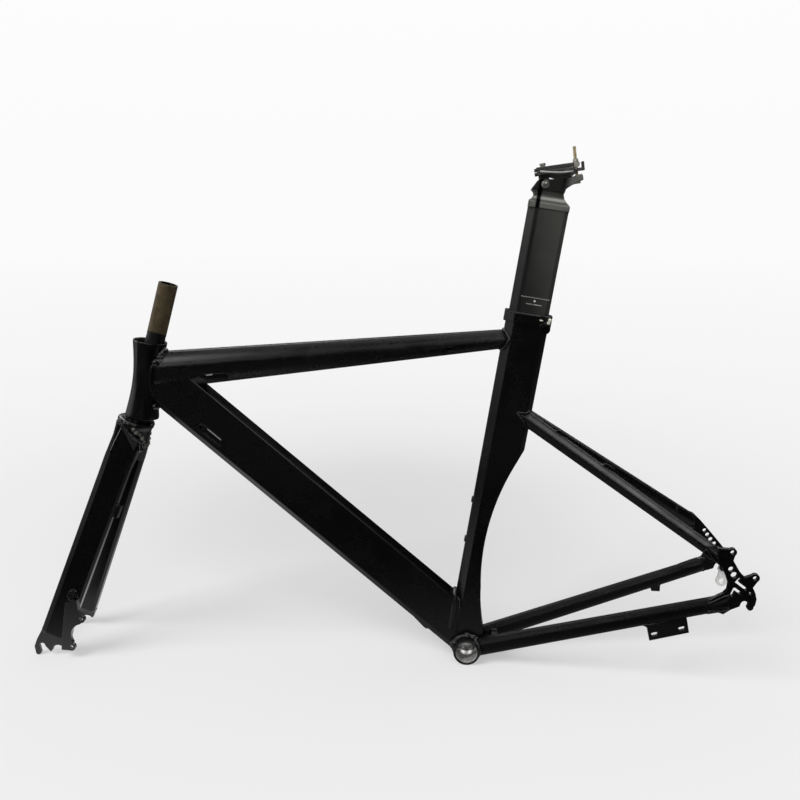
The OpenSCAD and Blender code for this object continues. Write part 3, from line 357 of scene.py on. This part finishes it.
def rimLines(name, onto, share=0.25, reach=0.35, opposed=-0.8):
    # outlines along which one node's cut end stands on another node, longest first,
    # leaving out those shorter than a share of the longest
    bm = nodeMesh(name)
    other = nodeMesh(onto)
    tree = BVHTree.FromBMesh(other)
    seated = set()
    for face in bm.faces:
        _, normal, _, gap = tree.find_nearest(face.calc_center_median())
        if gap is not None and gap < reach * mm and normal.dot(face.normal) < opposed:
            seated.add(face.index)
    links = {}
    for edge in bm.edges:
        inside = [face for face in edge.link_faces if face.index in seated]
        outside = [face for face in edge.link_faces if face.index not in seated]
        if len(inside) == 1 and len(outside) == 1:
            a, b = edge.verts
            links.setdefault(a, []).append((b, outside[0].normal.copy()))
            links.setdefault(b, []).append((a, outside[0].normal.copy()))
    lines = []
    while links:
        start = next((v for v in links if len(links[v]) == 1), next(iter(links)))
        chain, normals, closed = [start], [], False
        while True:
            here = chain[-1]
            ways = links.get(here, [])
            if not ways:
                break
            there, normal = ways.pop()
            links[there] = [way for way in links[there] if way[0] is not here]
            normals.append(normal)
            if there is start:
                closed = True
                break
            chain.append(there)
        links = {v: ways for v, ways in links.items() if ways}
        points = [v.co.copy() for v in chain]
        if len(points) < 3:
            continue
        middle = sum(points, Vector()) / len(points)
        outward = sum(n.dot(p - middle) for n, p in zip(normals, points))
        length = sum((b - a).length for a, b in zip(points, points[1:]))
        if outward > 0 or not closed:
            lines.append((length, points, closed))
    bm.free()
    other.free()
    if not lines:
        print("no rim of", name, "on", onto)
    longest = max((line[0] for line in lines), default=0)
    lines.sort(key=lambda line: -line[0])
    return [(points, closed) for length, points, closed in lines if length > share * longest]


def evenPoints(points, closed, spacing):
    ring = points + [points[0]] if closed else points
    lengths = [0.0]
    for a, b in zip(ring, ring[1:]):
        lengths.append(lengths[-1] + (b - a).length)
    count = max(6, int(lengths[-1] / spacing))
    result, at = [], 0
    for step in range(count + (0 if closed else 1)):
        want = lengths[-1] * step / count
        while at < len(lengths) - 2 and lengths[at + 1] < want:
            at += 1
        span = lengths[at + 1] - lengths[at]
        share = (want - lengths[at]) / span if span > 0 else 0
        result.append(ring[at].lerp(ring[at + 1], share))
    return result


def smoothed(points, closed, rounds):
    for step in range(rounds):
        count = len(points)
        points = [points[i] if not closed and i in (0, count - 1) else
                  (points[i - 1] + points[i] * 2 + points[(i + 1) % count]) / 4 for i in range(count)]
    return points


# scales of a bead in mm, coarser than the real 1.5 so that they show, and its slow changes of width
beadScales = {"pitch": 3.0, "spacing": 0.75, "sway": ((0.06, 11.0, 0.0), (0.04, 4.7, 1.3))}


def addBead(name, lines, body, material, radius, ripple=0.0, spacing=beadScales["spacing"], rounds=2):
    data = bpy.data.curves.new(name, "CURVE")
    data.dimensions = "3D"
    data.bevel_depth = radius * mm
    data.bevel_resolution = 2
    data.use_fill_caps = True
    for points, closed in lines:
        even = smoothed(evenPoints(points, closed, spacing * mm), closed, rounds)
        spline = data.splines.new("POLY")
        spline.points.add(len(even) - 1)
        spline.use_cyclic_u = closed
        spline.use_smooth = True
        travel = 0.0
        for i, point in enumerate(even):
            travel += (point - even[i - 1]).length if i else 0.0
            phase = (travel / (beadScales["pitch"] * mm)) % 1.0
            wander = sum(wide * math.sin(travel / (long * mm) + shift) for wide, long, shift in beadScales["sway"])
            spline.points[i].co = (point.x, point.y, point.z, 1.0)
            spline.points[i].radius = 1.0 + ripple * (phase - 0.5) + wander
    data.materials.append(material)
    piece = bpy.data.objects.new(name, data)
    scene.collection.objects.link(piece)
    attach(piece, body)
    return piece


def millimetres(path, side=1):
    return [Vector((x, side * y, z)) * mm for x, y, z in path]


# weld beads: scaled ridges round every tube joint, as the part, what it stands on, their body, radius and ripple
beads = {
    "weldTopHead": ("top_tube", "head_tube", "frame", 2.0, 0.3),
    "weldTopSeat": ("top_tube", "seat_tube", "frame", 2.5, 0.34),
    "weldDownSeat": ("down_tube", "seat_tube", "frame", 2.4, 0.3),
    "weldSeatShell": ("seat_tube", "bb_shell", "frame", 3.2, 0.6),
    "weldDownShell": ("down_tube", "bb_shell", "frame", 3.2, 0.6),
    "weldLeftChainShell": ("left_chainstay", "bb_shell", "frame", 2.4, 0.5),
    "weldRightChainShell": ("right_chainstay", "bb_shell", "frame", 2.4, 0.5),
    "weldLeftStaySeat": ("left_seatstay", "seat_tube", "frame", 1.6, 0.3),
    "weldRightStaySeat": ("right_seatstay", "seat_tube", "frame", 1.6, 0.3),
    "weldLeftStayTip": ("left_seatstay", "left_dropout", "frame", 1.5, 0.35),
    "weldRightStayTip": ("right_seatstay", "right_dropout", "frame", 1.5, 0.35),
    "weldLeftChainTip": ("left_chainstay", "left_dropout", "frame", 1.5, 0.35),
    "weldRightChainTip": ("right_chainstay", "right_dropout", "frame", 1.5, 0.35),
    "weldBridgeLeft": ("seatstay_bridge", "left_seatstay", "frame", 1.3, 0.3),
    "weldBridgeRight": ("seatstay_bridge", "right_seatstay", "frame", 1.3, 0.3),
    "weldLowBridgeLeft": ("chainstay_bridge", "left_chainstay", "frame", 1.4, 0.3),
    "weldLowBridgeRight": ("chainstay_bridge", "right_chainstay", "frame", 1.4, 0.3),
    "weldKickstand": ("kickstand_plate", "left_chainstay", "frame", 1.3, 0.3),
    "weldHoseGuides": ("seatstay_hose_guide", "left_seatstay", "frame", 0.7, 0.2),
    "weldCableGuide": ("chainstay_cable_guide", "right_chainstay", "frame", 0.8, 0.2),
    "weldOutlet": ("down_tube_outlet", "down_tube", "frame", 0.7, 0.2),
    "weldBosses": ("bottle_bosses", "seat_tube", "frame", 0.7, 0.1),
    "weldLeftCrown": ("left_blade", "fork_crown", "fork", 4.0, 0.7),
    "weldRightCrown": ("right_blade", "fork_crown", "fork", 4.0, 0.7),
    "weldBrakeMount": ("fork_brake_mount", "left_blade", "fork", 1.2, 0.3),
    "weldEyelet": ("fork_eyelet", "left_blade", "fork", 1.0, 0.3),
    "weldForkGuide": ("fork_hose_guide", "left_blade", "fork", 0.7, 0.2),
}
for name, (part, onto, body, radius, ripple) in beads.items():
    # at the crown only the whole outline is welded
    lines = rimLines(part, onto, 0.9 if onto == "fork_crown" else 0.25)
    if lines:
        addBead(name, lines, body, weldPaint, radius, ripple)
print("weld beads laid:", len(beads))


# how the lumps of a heavy weld differ in size along it
lumpSizes = ((0.22, 2.4, 0.0), (0.12, 1.1, 0.7))


def addPuddles(name, places, radius, body, material=weldPaint):
    bm = bmesh.new()
    for i, place in enumerate(places):
        uneven = 1 + sum(share * math.sin(i * step + shift) for share, step, shift in lumpSizes)
        bmesh.ops.create_icosphere(bm, subdivisions=3, radius=radius * uneven * mm, matrix=Matrix.Translation(place))
    return addPiece(name, bm, material, body, 80)


# puddles: heavy welds that stand up in separate lumps, as spacing, radius and how far down the joint they go
puddles = {
    "puddleLeftCrown": ("left_blade", "fork_crown", "fork", 5.6, 3.6, None),
    "puddleRightCrown": ("right_blade", "fork_crown", "fork", 5.6, 3.6, None),
    "puddleTopHead": ("top_tube", "head_tube", "frame", 4.6, 5.0, 16),
}
for name, (part, onto, body, spacing, radius, deep) in puddles.items():
    lines = rimLines(part, onto)
    if not lines:
        continue
    places = evenPoints(*lines[0], spacing * mm)
    if deep:
        highest = max(point.z for point in places)
        places = [point for point in places if point.z > highest - deep * mm]
    addPuddles(name, places, radius, body)

# the down tube is heaped underneath, where it meets the back of the head tube
headHeap = {"middle": -499, "radius": 25, "height": 374.5, "across": range(-12, 13, 4), "lump": 4.4}
headArc = [(headHeap["middle"] + math.sqrt(headHeap["radius"] ** 2 - y * y), y, headHeap["height"])
           for y in headHeap["across"]]
addPuddles("puddleDownHead", millimetres(headArc), headHeap["lump"], "frame")

# coarse heaps painted pale as highlights on both sides: under the crown, at its upper rim, and over the top tube's end
heaps = {
    "heapCrown": ([(-507.1, -25.4, 341.4), (-503.8, -22.8, 336.1), (-500.6, -19.8, 331.5),
                   (-498.6, -15.9, 325.1), (-497.6, -11.1, 318.3), (-498.4, -8, 311.9)], 3.2, "fork"),
    "heapRim": ([(-530.5, -8.9, 357.1), (-520, -26.2, 352.2), (-516.5, -25.2, 352.6)], 2.0, "fork"),
    "heapTopTube": ([(-464.2, -13.9, 444.9), (-463.2, -11.4, 450.5), (-461.3, -9.2, 455.5),
                     (-460.8, -1.7, 458.1)], 3.4, "frame"),
}
for name, (spots, radius, body) in heaps.items():
    for side, ending in ((1, "Left"), (-1, "Right")):
        addPuddles(name + ending, millimetres(spots, side), radius, body, glintPaintedWeld)

# lumps over the shell, from one tube round to the next in degrees
shellWeld = {"radius": 21.3, "from": -78, "to": 98, "step": 13, "at": 19.0, "lump": 5.0}
for side, ending in ((-1, "Left"), (1, "Right")):
    turns = [math.radians(a) for a in range(shellWeld["from"], shellWeld["to"], shellWeld["step"])]
    arc = [(shellWeld["radius"] * math.sin(a), shellWeld["at"], shellWeld["radius"] * math.cos(a)) for a in turns]
    addPuddles("puddleShell" + ending, millimetres(arc, side), shellWeld["lump"], "frame")

# paint stands up in a thick lip round both ends of the shell
shellLip = {"radius": 18.6, "bead": 1.7, "at": 33.3, "points": 72}
for side, ending in ((-1, "Left"), (1, "Right")):
    turns = [2 * math.pi * a / shellLip["points"] for a in range(shellLip["points"])]
    arc = [(shellLip["radius"] * math.sin(a), shellLip["at"], shellLip["radius"] * math.cos(a)) for a in turns]
    addBead("shellLip" + ending, [(millimetres(arc, side), True)], "frame", framePaint, shellLip["bead"],
            spacing=1.5, rounds=0)
print("weld lumps and shell lips laid")

# given one by one: the broad bead between down tube and seat tube, and the raised lips of collar and rear cable port
ridges = {
    "weldStrip": ([(-25.3, -12.4, 31.6), (-23.9, -12.4, 41.8), (-21.5, -12.4, 58.5), (-20, -12.4, 76),
                   (-19.4, -10.6, 85), (-19.2, 0, 86.5), (-19.4, 10.6, 85),
                   (-20, 12.4, 76), (-21.5, 12.4, 58.5), (-23.9, 12.4, 41.8), (-25.3, 12.4, 31.6)], 4.4),
    "collarLip": ([(54, -17.9, 523.4), (75, -17.9, 520.4), (97.5, -17.9, 517.3)], 0.9),
    "collarLipRear": ([(102.2, -17.9, 516.7), (107, -17.9, 516.1), (110.5, -17.4, 515.7)], 1.0),
    "portLipRear": ([(-52, -13.6, 462), (-40, -13.8, 463.7), (-27, -13.6, 465.4)], 0.8),
}
for name, (path, radius) in ridges.items():
    addBead(name, [(millimetres(path), False)], "frame", weldPaint, radius, 0.12)

# painted highlights as grey lines along edges: inside the cable ports and down the front of both blades
bladeEdge = [(-524.3, -25.1, 347.2), (-529.8, -28.1, 336.1), (-535.8, -30.5, 324.2), (-541.9, -33.1, 310.6)]
streaks = {
    "portLipDown": ([(-395.3, -17.4, 342.5), (-385.7, -17.4, 334.4), (-375.3, -17.4, 325.7)], 1, 1.1, "frame"),
    "portLipTop": ([(-393.4, -18.5, 424.9), (-388.8, -18.5, 425.6), (-383.5, -18.5, 426.3)], 1, 1.0, "frame"),
    "bladeEdgeLeft": (bladeEdge, 1, 0.6, "fork"),
    "bladeEdgeRight": (bladeEdge, -1, 0.6, "fork"),
}
for name, (path, side, radius, body) in streaks.items():
    addBead(name, [(millimetres(path, side), False)], body, highlightPaintedEdge, radius, 0.1, 1.5)

# round caps on both ends of the tilting pin
pinCap = {"at": (97.9, 15.0, 700.7), "radius": 4.5, "tall": 1.6}
for side, ending in ((-1, "Left"), (1, "Right")):
    bm = bmesh.new()
    bmesh.ops.create_uvsphere(bm, u_segments=32, v_segments=16, radius=1)
    bmesh.ops.scale(bm, vec=(pinCap["radius"] * mm, pinCap["tall"] * mm, pinCap["radius"] * mm), verts=bm.verts[:])
    bmesh.ops.translate(bm, vec=millimetres([pinCap["at"]], side)[0], verts=bm.verts[:])
    addPiece("pinCap" + ending, bm, pinSteel, "post", 60)

# lips along both saddle rail grooves, painted pale as highlights
railLip = {"path": ((89, 26.6, 717.2), (103, 26.6, 716.1), (118, 26.6, 715.7), (134, 26.6, 717.3)), "radius": 1.2}
for side, ending in ((-1, "Left"), (1, "Right")):
    addBead("railLip" + ending, [(millimetres(railLip["path"], side), False)], "saddle_clamp", highlightPaintedLip,
            railLip["radius"], spacing=1.5, rounds=1)

# joint lines: fine, dark and matt, where the fork tips and the post head are joined
seamLine = {"colour": "#060606", "radius": 0.42, "spacing": 1.0, "speckMm": 2,
            "post": ((77.6, -4, 669.8), (85.5, -12.5, 668.3), (129.8, -12.5, 662.1))}
seam, seamTree = newMaterial("dark joint line in anodised aluminium")
seamCoord = addNode(seamTree, "TexCoord").outputs["Object"]
seamNoise = addNode(seamTree, "TexNoise", {"Scale": 1 / (seamLine["speckMm"] * mm)}, {"Vector": seamCoord})
seamGloss = addNode(seamTree, "MapRange", {"To Min": 0.6, "To Max": 0.85}, {"Value": seamNoise})
seamShader = addNode(seamTree, "BsdfPrincipled", {"Base Color": hexColour(seamLine["colour"])},
                     {"Roughness": seamGloss})
addNode(seamTree, "OutputMaterial", None, {"Surface": seamShader})
seams = {"leftTipSeam": (rimLines("left_fork_tip", "left_blade")[:1], "fork", "black_paint"),
         "rightTipSeam": (rimLines("right_fork_tip", "right_blade")[:1], "fork", "black_paint"),
         "postSeam": ([(millimetres(seamLine["post"]), False)], "post", "black_anodised")}
for name, (lines, body, slotName) in seams.items():
    if lines:
        addBead(name, lines, body, seam, seamLine["radius"], spacing=seamLine["spacing"], rounds=0)
print("lips, caps and seams laid")


def spunThread(profile, axis, turns, steps, rise, outward):
    # a helical ridge about the origin; outward is 1 on a rod and -1 in a bore
    bm = bmesh.new()
    corners = [bm.verts.new(point) for point in profile]
    line = [bm.edges.new(pair) for pair in zip(corners, corners[1:])]
    bmesh.ops.spin(bm, geom=corners + line, cent=(0, 0, 0), axis=axis, angle=2 * math.pi * turns, steps=steps * turns,
                   dvec=axis * rise, use_merge=False)
    bmesh.ops.remove_doubles(bm, verts=bm.verts[:], dist=0.01 * mm)
    bmesh.ops.recalc_face_normals(bm, faces=bm.faces[:])
    facing = 0
    for face in bm.faces:
        middle = face.calc_center_median()
        facing += face.normal.dot(middle - axis * middle.dot(axis))
    if facing * outward < 0:
        bmesh.ops.reverse_faces(bm, faces=bm.faces[:])
    return bm


# tapped bottom bracket: a ridge at each end of the bore, pitch drawn at 3.6 mm instead of 1.06 so that it shows
# its outline is given as radius and share of the pitch
tap = {"outline": ((17.36, 0), (16.2, 0.42), (16.2, 0.56), (17.36, 0.98)), "pitch": 3.6, "turns": 7, "steps": 60,
       "end": 32.0}
for side, ending in ((-1, "Left"), (1, "Right")):
    profile = [(radius * mm, side * (tap["end"] - tap["pitch"] * share) * mm, 0) for radius, share in tap["outline"]]
    rise = -side * tap["pitch"] / tap["steps"] * mm
    bm = spunThread(profile, Vector((0, 1, 0)), tap["turns"], tap["steps"], rise, -1)
    addPiece("shellThread" + ending, bm, threadMetal, "frame", 50)
print("bottom bracket tapped")

# rolled thread on the tilting bolt, pitch drawn at 1.4 mm so that it shows
stud = {"radius": 1.95, "depth": 0.42, "pitch": 1.4, "steps": 20, "start": 2, "length": 44,
        "foot": 718.5, "behind": 32.9, "tilt": math.radians(16.6)}
boltAxis = Vector((math.sin(postLean - stud["tilt"]), 0, math.cos(postLean - stud["tilt"])))
boltFoot = postUp * stud["foot"] * mm + postBack * stud["behind"] * mm
profile = [((stud["radius"] + deep) * mm, 0, (stud["start"] + stud["pitch"] * share) * mm)
           for deep, share in ((0, 0), (stud["depth"], 0.5), (0, 1))]
bm = spunThread(profile, Vector((0, 0, 1)), int(stud["length"] / stud["pitch"]), stud["steps"],
                stud["pitch"] / stud["steps"] * mm, 1)
boltTurn = Vector((0, 0, 1)).rotation_difference(boltAxis).to_matrix().to_4x4()
bmesh.ops.transform(bm, matrix=Matrix.Translation(boltFoot) @ boltTurn, verts=bm.verts[:])
addPiece("tiltThread", bm, studSteel, "post", 30)

# insertion mark printed on the left side of the post: a row of short pale strokes, a dot, and ticks where words
# would stand, so that nothing can be read
inkMark = {"light": "#deded8", "dark": "#b4b4ae", "grainMm": 0.6, "side": -12.5, "thick": 0.06,
           "stroke": (1.4, 1.0), "strokeStep": 3.5, "strokes": ((-15.5, 25.0),), "strokesAt": 550.2,
           "tick": (0.5, 1.3), "tickStep": 1.15, "ticks": ((-6.3, 0.8), (3.1, 15.1)), "ticksAt": 540.6,
           "dot": 1.5, "dotAt": (4.4, 545.6)}
ink, inkTree = newMaterial("screen-printed grey ink")
inkCoord = addNode(inkTree, "TexCoord").outputs["Object"]
inkNoise = addNode(inkTree, "TexNoise", {"Scale": 1 / (inkMark["grainMm"] * mm), "Detail": 4.0}, {"Vector": inkCoord})
inkColour = addNode(inkTree, "Mix", {"data_type": "RGBA", 6: hexColour(inkMark["dark"]),
                                     7: hexColour(inkMark["light"])}, {0: inkNoise}).outputs[2]
inkShader = addNode(inkTree, "BsdfPrincipled", {"Roughness": 0.7}, {"Base Color": inkColour})
addNode(inkTree, "OutputMaterial", None, {"Surface": inkShader})
bm = bmesh.new()
for kind, offset in (("stroke", inkMark["stroke"][0] / 2), ("tick", 0)):
    wide, tall = inkMark[kind]
    for rowFrom, rowTo in inkMark[kind + "s"]:
        place = rowFrom
        while place < rowTo:
            dash = bmesh.ops.create_grid(bm, x_segments=1, y_segments=1, size=0.5)["verts"]
            bmesh.ops.scale(bm, vec=(wide * mm, tall * mm, 1), verts=dash)
            bmesh.ops.translate(bm, vec=((place + offset) * mm, inkMark[kind + "sAt"] * mm, 0), verts=dash)
            place += inkMark[kind + "Step"]
dot = bmesh.ops.create_circle(bm, cap_ends=True, segments=20, radius=inkMark["dot"] * mm)["verts"]
bmesh.ops.translate(bm, vec=(inkMark["dotAt"][0] * mm, inkMark["dotAt"][1] * mm, 0), verts=dot)
raised = [v for v in bmesh.ops.extrude_face_region(bm, geom=bm.faces[:])["geom"] if isinstance(v, bmesh.types.BMVert)]
bmesh.ops.translate(bm, vec=(0, 0, inkMark["thick"] * mm), verts=raised)
bmesh.ops.recalc_face_normals(bm, faces=bm.faces[:])
markFrame = Matrix((postBack, postUp, Vector((0, -1, 0)))).transposed().to_4x4()
markFrame.translation = Vector((0, inkMark["side"] * mm, 0))
bmesh.ops.transform(bm, matrix=markFrame, verts=bm.verts[:])
addPiece("insertionMark", bm, ink, "post", 0)
print("post marked")

# collar hardware on the left side: the end of a clamping rod, a nut and a washer, plated steel painted nearly white to
# stand for their glints
collar = {"rodFrom": (95.6, -19.9, 512.3), "rodTo": (100.4, -19.9, 511.1), "rod": 1.0, "bevel": 0.2, "taper": 0.9,
          "nut": {"sides": 6, "at": (110.2, -19.4, 512.0), "radius": 2.9, "tall": 2.4},
          "washer": {"sides": 24, "at": (108.6, -19.3, 508.2), "radius": 2.6, "tall": 1.6}}
rodFrom, rodTo = millimetres((collar["rodFrom"], collar["rodTo"]))
rodTurn = Vector((0, 0, 1)).rotation_difference(rodTo - rodFrom).to_matrix().to_4x4()
bm = bmesh.new()
rod = bmesh.ops.create_cone(bm, cap_ends=True, segments=16, radius1=collar["rod"] * mm, radius2=collar["rod"] * mm,
                            depth=(rodTo - rodFrom).length)["verts"]
bmesh.ops.transform(bm, matrix=Matrix.Translation((rodFrom + rodTo) / 2) @ rodTurn, verts=rod)
for disc in (collar["nut"], collar["washer"]):
    turned = bmesh.ops.create_cone(bm, cap_ends=True, segments=disc["sides"], radius1=disc["radius"] * mm,
                                   radius2=disc["radius"] * collar["taper"] * mm, depth=disc["tall"] * mm)["verts"]
    stand = Matrix.Translation(Vector(disc["at"]) * mm) @ Matrix.Rotation(math.pi / 2, 4, "X")
    bmesh.ops.transform(bm, matrix=stand, verts=turned)
bmesh.ops.bevel(bm, geom=bm.edges[:], offset=collar["bevel"] * mm, segments=2, profile=0.5, affect="EDGES", material=-1)
addPiece("collarHardware", bm, platedGlintSteel, "frame", 30)

# studio floor: pale to the camera and paler far off, darkest round a middle behind the frame as a painted soft shadow,
# and shaped on its own in the reflections
studio = {"floorZ": -0.020, "radius": 14.0, "middle": (-0.2, 0.7, 0), "matt": 0.45,
          "tones": [(0.0, 0.28), (0.3, 0.30), (0.55, 0.37), (0.8, 0.41), (1.2, 0.445), (1.8, 0.468), (2.6, 0.488),
                    (6.6, 0.51), (14.0, 0.531)]}
bm = bmesh.new()
bmesh.ops.create_circle(bm, cap_ends=True, segments=96, radius=studio["radius"])
bmesh.ops.translate(bm, vec=(0, 0, studio["floorZ"]), verts=bm.verts[:])
floorMesh = bpy.data.meshes.new("studioFloor")
bm.to_mesh(floorMesh)
bm.free()
floor = bpy.data.objects.new("studioFloor", floorMesh)
scene.collection.objects.link(floor)
paper, paperTree = newMaterial("matt white paper")
path = addNode(paperTree, "LightPath")
floorCoord = addNode(paperTree, "TexCoord").outputs["Object"]
# the glow is lowest at the middle: a painted soft shadow behind the frame
reach = addNode(paperTree, "VectorMath", {"operation": "DISTANCE", 1: studio["middle"]}, {0: floorCoord})
faraway = addNode(paperTree, "MapRange", {"From Min": 0.0, "From Max": studio["radius"]},
                  {"Value": reach.outputs["Value"]})
fall = addNode(paperTree, "ValToRGB", None, {0: faraway})
while len(fall.color_ramp.elements) < len(studio["tones"]):
    fall.color_ramp.elements.new(0.5)
for element, (place, tone) in zip(fall.color_ramp.elements, studio["tones"]):
    element.position = place / studio["radius"]
    element.color = (tone, tone, tone, 1)
seen = addNode(paperTree, "Math", {"operation": "MAXIMUM"},
               {0: path.outputs["Is Camera Ray"], 1: path.outputs["Is Transmission Ray"]})
cameraGlow = addNode(paperTree, "Math", {"operation": "MULTIPLY"}, {0: seen, 1: fall})
# the floor in reflections: dark before the frame, lit under it and to the left, and one strip in front
floorPlace = addNode(paperTree, "SeparateXYZ", None, {0: floorCoord})
mirrorFloor = {"under": ("Y", -0.4, 0.05, 0.004, 0.3, "SMOOTHSTEP"),
               "leftGain": ("X", -0.15, -0.55, 1.0, 4.0, "LINEAR"),
               "beyond": ("Y", 0.05, 0.4, 1.0, 0.15, "LINEAR"),
               "stripFrom": ("Y", -0.85, -1.15, 0.0, 0.1, "LINEAR"),
               "stripTo": ("Y", -1.4, -1.7, 1.0, 0.0, "LINEAR")}
ramps = {name: addNode(paperTree, "MapRange", {"From Min": low, "From Max": high, "To Min": atLow, "To Max": atHigh,
                                               "interpolation_type": kind}, {"Value": floorPlace.outputs[way]})
         for name, (way, low, high, atLow, atHigh, kind) in mirrorFloor.items()}
lit = addNode(paperTree, "Math", {"operation": "MULTIPLY"}, {0: ramps["under"], 1: ramps["leftGain"]})
strip = addNode(paperTree, "Math", {"operation": "MULTIPLY"}, {0: ramps["stripFrom"], 1: ramps["stripTo"]})
mirrorTone = addNode(paperTree, "Math", {"operation": "MULTIPLY_ADD"}, {0: lit, 1: ramps["beyond"], 2: strip})
mirrorGlow = addNode(paperTree, "Math", {"operation": "MULTIPLY"}, {0: path.outputs["Is Glossy Ray"], 1: mirrorTone})
glow = addNode(paperTree, "Math", {"operation": "ADD"}, {0: cameraGlow, 1: mirrorGlow})
plainTone = addNode(paperTree, "Math", {"operation": "MULTIPLY_ADD", 1: -studio["matt"], 2: studio["matt"]},
                    {0: path.outputs["Is Glossy Ray"]})
matt = addNode(paperTree, "BsdfDiffuse", None, {"Color": plainTone})
shine = addNode(paperTree, "Emission", None, {"Strength": glow})
both = addNode(paperTree, "AddShader", None, {0: matt, 1: shine})
addNode(paperTree, "OutputMaterial", None, {"Surface": both})
floorMesh.materials.append(paper)

# two soft lamps: the main one to the left in front, a weak one to the right
# the gloss doesn't see them, only the boxes in the room
lamps = {
    "softLeft": {"from": (-0.55, -0.42, 0.72), "angle": 36, "strength": 2.2},
    "softRight": {"from": (0.26, -0.8, 0.54), "angle": 32, "strength": 0.55},
}
for name, lamp in lamps.items():
    light = bpy.data.lights.new(name, "SUN")
    light.energy = lamp["strength"]
    light.angle = math.radians(lamp["angle"])
    lightObject = bpy.data.objects.new(name, light)
    lightObject.rotation_euler = (-Vector(lamp["from"])).to_track_quat("-Z", "Y").to_euler()
    lightObject.visible_glossy = False
    scene.collection.objects.link(lightObject)

# room: white to the camera, a dim fill, and for reflections a dark side behind the camera
room = bpy.data.worlds.new("room")
room.use_nodes = True
roomTree = room.node_tree
roomTree.nodes.clear()
roomPath = addNode(roomTree, "LightPath")
viewWay = addNode(roomTree, "TexCoord").outputs["Generated"]
direction = addNode(roomTree, "SeparateXYZ", None, {0: viewWay})
roomLight = {"fill": 0.36, "skyLow": 0.962, "skyHigh": 0.985}
roomSides = {"back": ("Y", -0.1, 0.5, 0.0, 0.6), "up": ("Z", 0.33, 0.6, 0.0, 1.0),
             "zenith": ("Z", 0.86, 0.95, 0.006, 1.6), "left": ("X", -0.8, -0.96, 0.0, 0.75)}
walls = {name: addNode(roomTree, "MapRange", {"From Min": low, "From Max": high, "To Min": atLow, "To Max": atHigh,
                                              "interpolation_type": "SMOOTHSTEP"}, {"Value": direction.outputs[way]})
         for name, (way, low, high, atLow, atHigh) in roomSides.items()}
backUp = addNode(roomTree, "Math", {"operation": "MULTIPLY_ADD"},
                 {0: walls["back"], 1: walls["up"], 2: walls["zenith"]})
glossTone = addNode(roomTree, "Math", {"operation": "ADD"}, {0: backUp, 1: walls["left"]})
# the soft boxes as the gloss sees them, and weaker ones all round for other views:
# where they stand, how wide in degrees, how bright
boxes = {"left": {"at": (-0.47, -0.75, 0.47), "core": 3, "rim": 13, "bright": 5.5},
         "right": {"at": (0.24, -0.89, 0.38), "core": 4, "rim": 15, "bright": 4.2},
         "backLeft": {"at": (0.38, 0.72, 0.58), "core": 4, "rim": 16, "bright": 4.0},
         "backRight": {"at": (-0.35, 0.72, 0.6), "core": 4, "rim": 16, "bright": 4.0},
         "rear": {"at": (0.75, 0.15, 0.64), "core": 4, "rim": 16, "bright": 3.5},
         "front": {"at": (-0.8, 0.1, 0.6), "core": 4, "rim": 16, "bright": 3.5}}
for box in boxes.values():
    aim = Vector(box["at"]).normalized()
    facing = addNode(roomTree, "VectorMath", {"operation": "DOT_PRODUCT", 1: tuple(aim)}, {0: viewWay})
    window = addNode(roomTree, "MapRange", {"From Min": math.cos(math.radians(box["rim"])),
                                            "From Max": math.cos(math.radians(box["core"])), "To Min": 0.0,
                                            "To Max": box["bright"], "interpolation_type": "SMOOTHSTEP"},
                     {"Value": facing.outputs["Value"]})
    glossTone = addNode(roomTree, "Math", {"operation": "ADD"}, {0: glossTone, 1: window})
skyTone = addNode(roomTree, "MapRange", {"From Min": 0.0, "From Max": 0.25, "To Min": roomLight["skyLow"],
                                         "To Max": roomLight["skyHigh"]}, {"Value": direction.outputs["Z"]})
fill = addNode(roomTree, "Mix", {2: roomLight["fill"]}, {0: roomPath.outputs["Is Glossy Ray"], 3: glossTone})
whole = addNode(roomTree, "Mix", None, {0: roomPath.outputs["Is Camera Ray"], 2: fill, 3: skyTone})
sky = addNode(roomTree, "Background", {"Color": (1, 1, 1, 1)}, {"Strength": whole})
addNode(roomTree, "OutputWorld", None, {"Surface": sky})
scene.world = room
scene.view_settings.view_transform = "Standard"
print("studio lit")
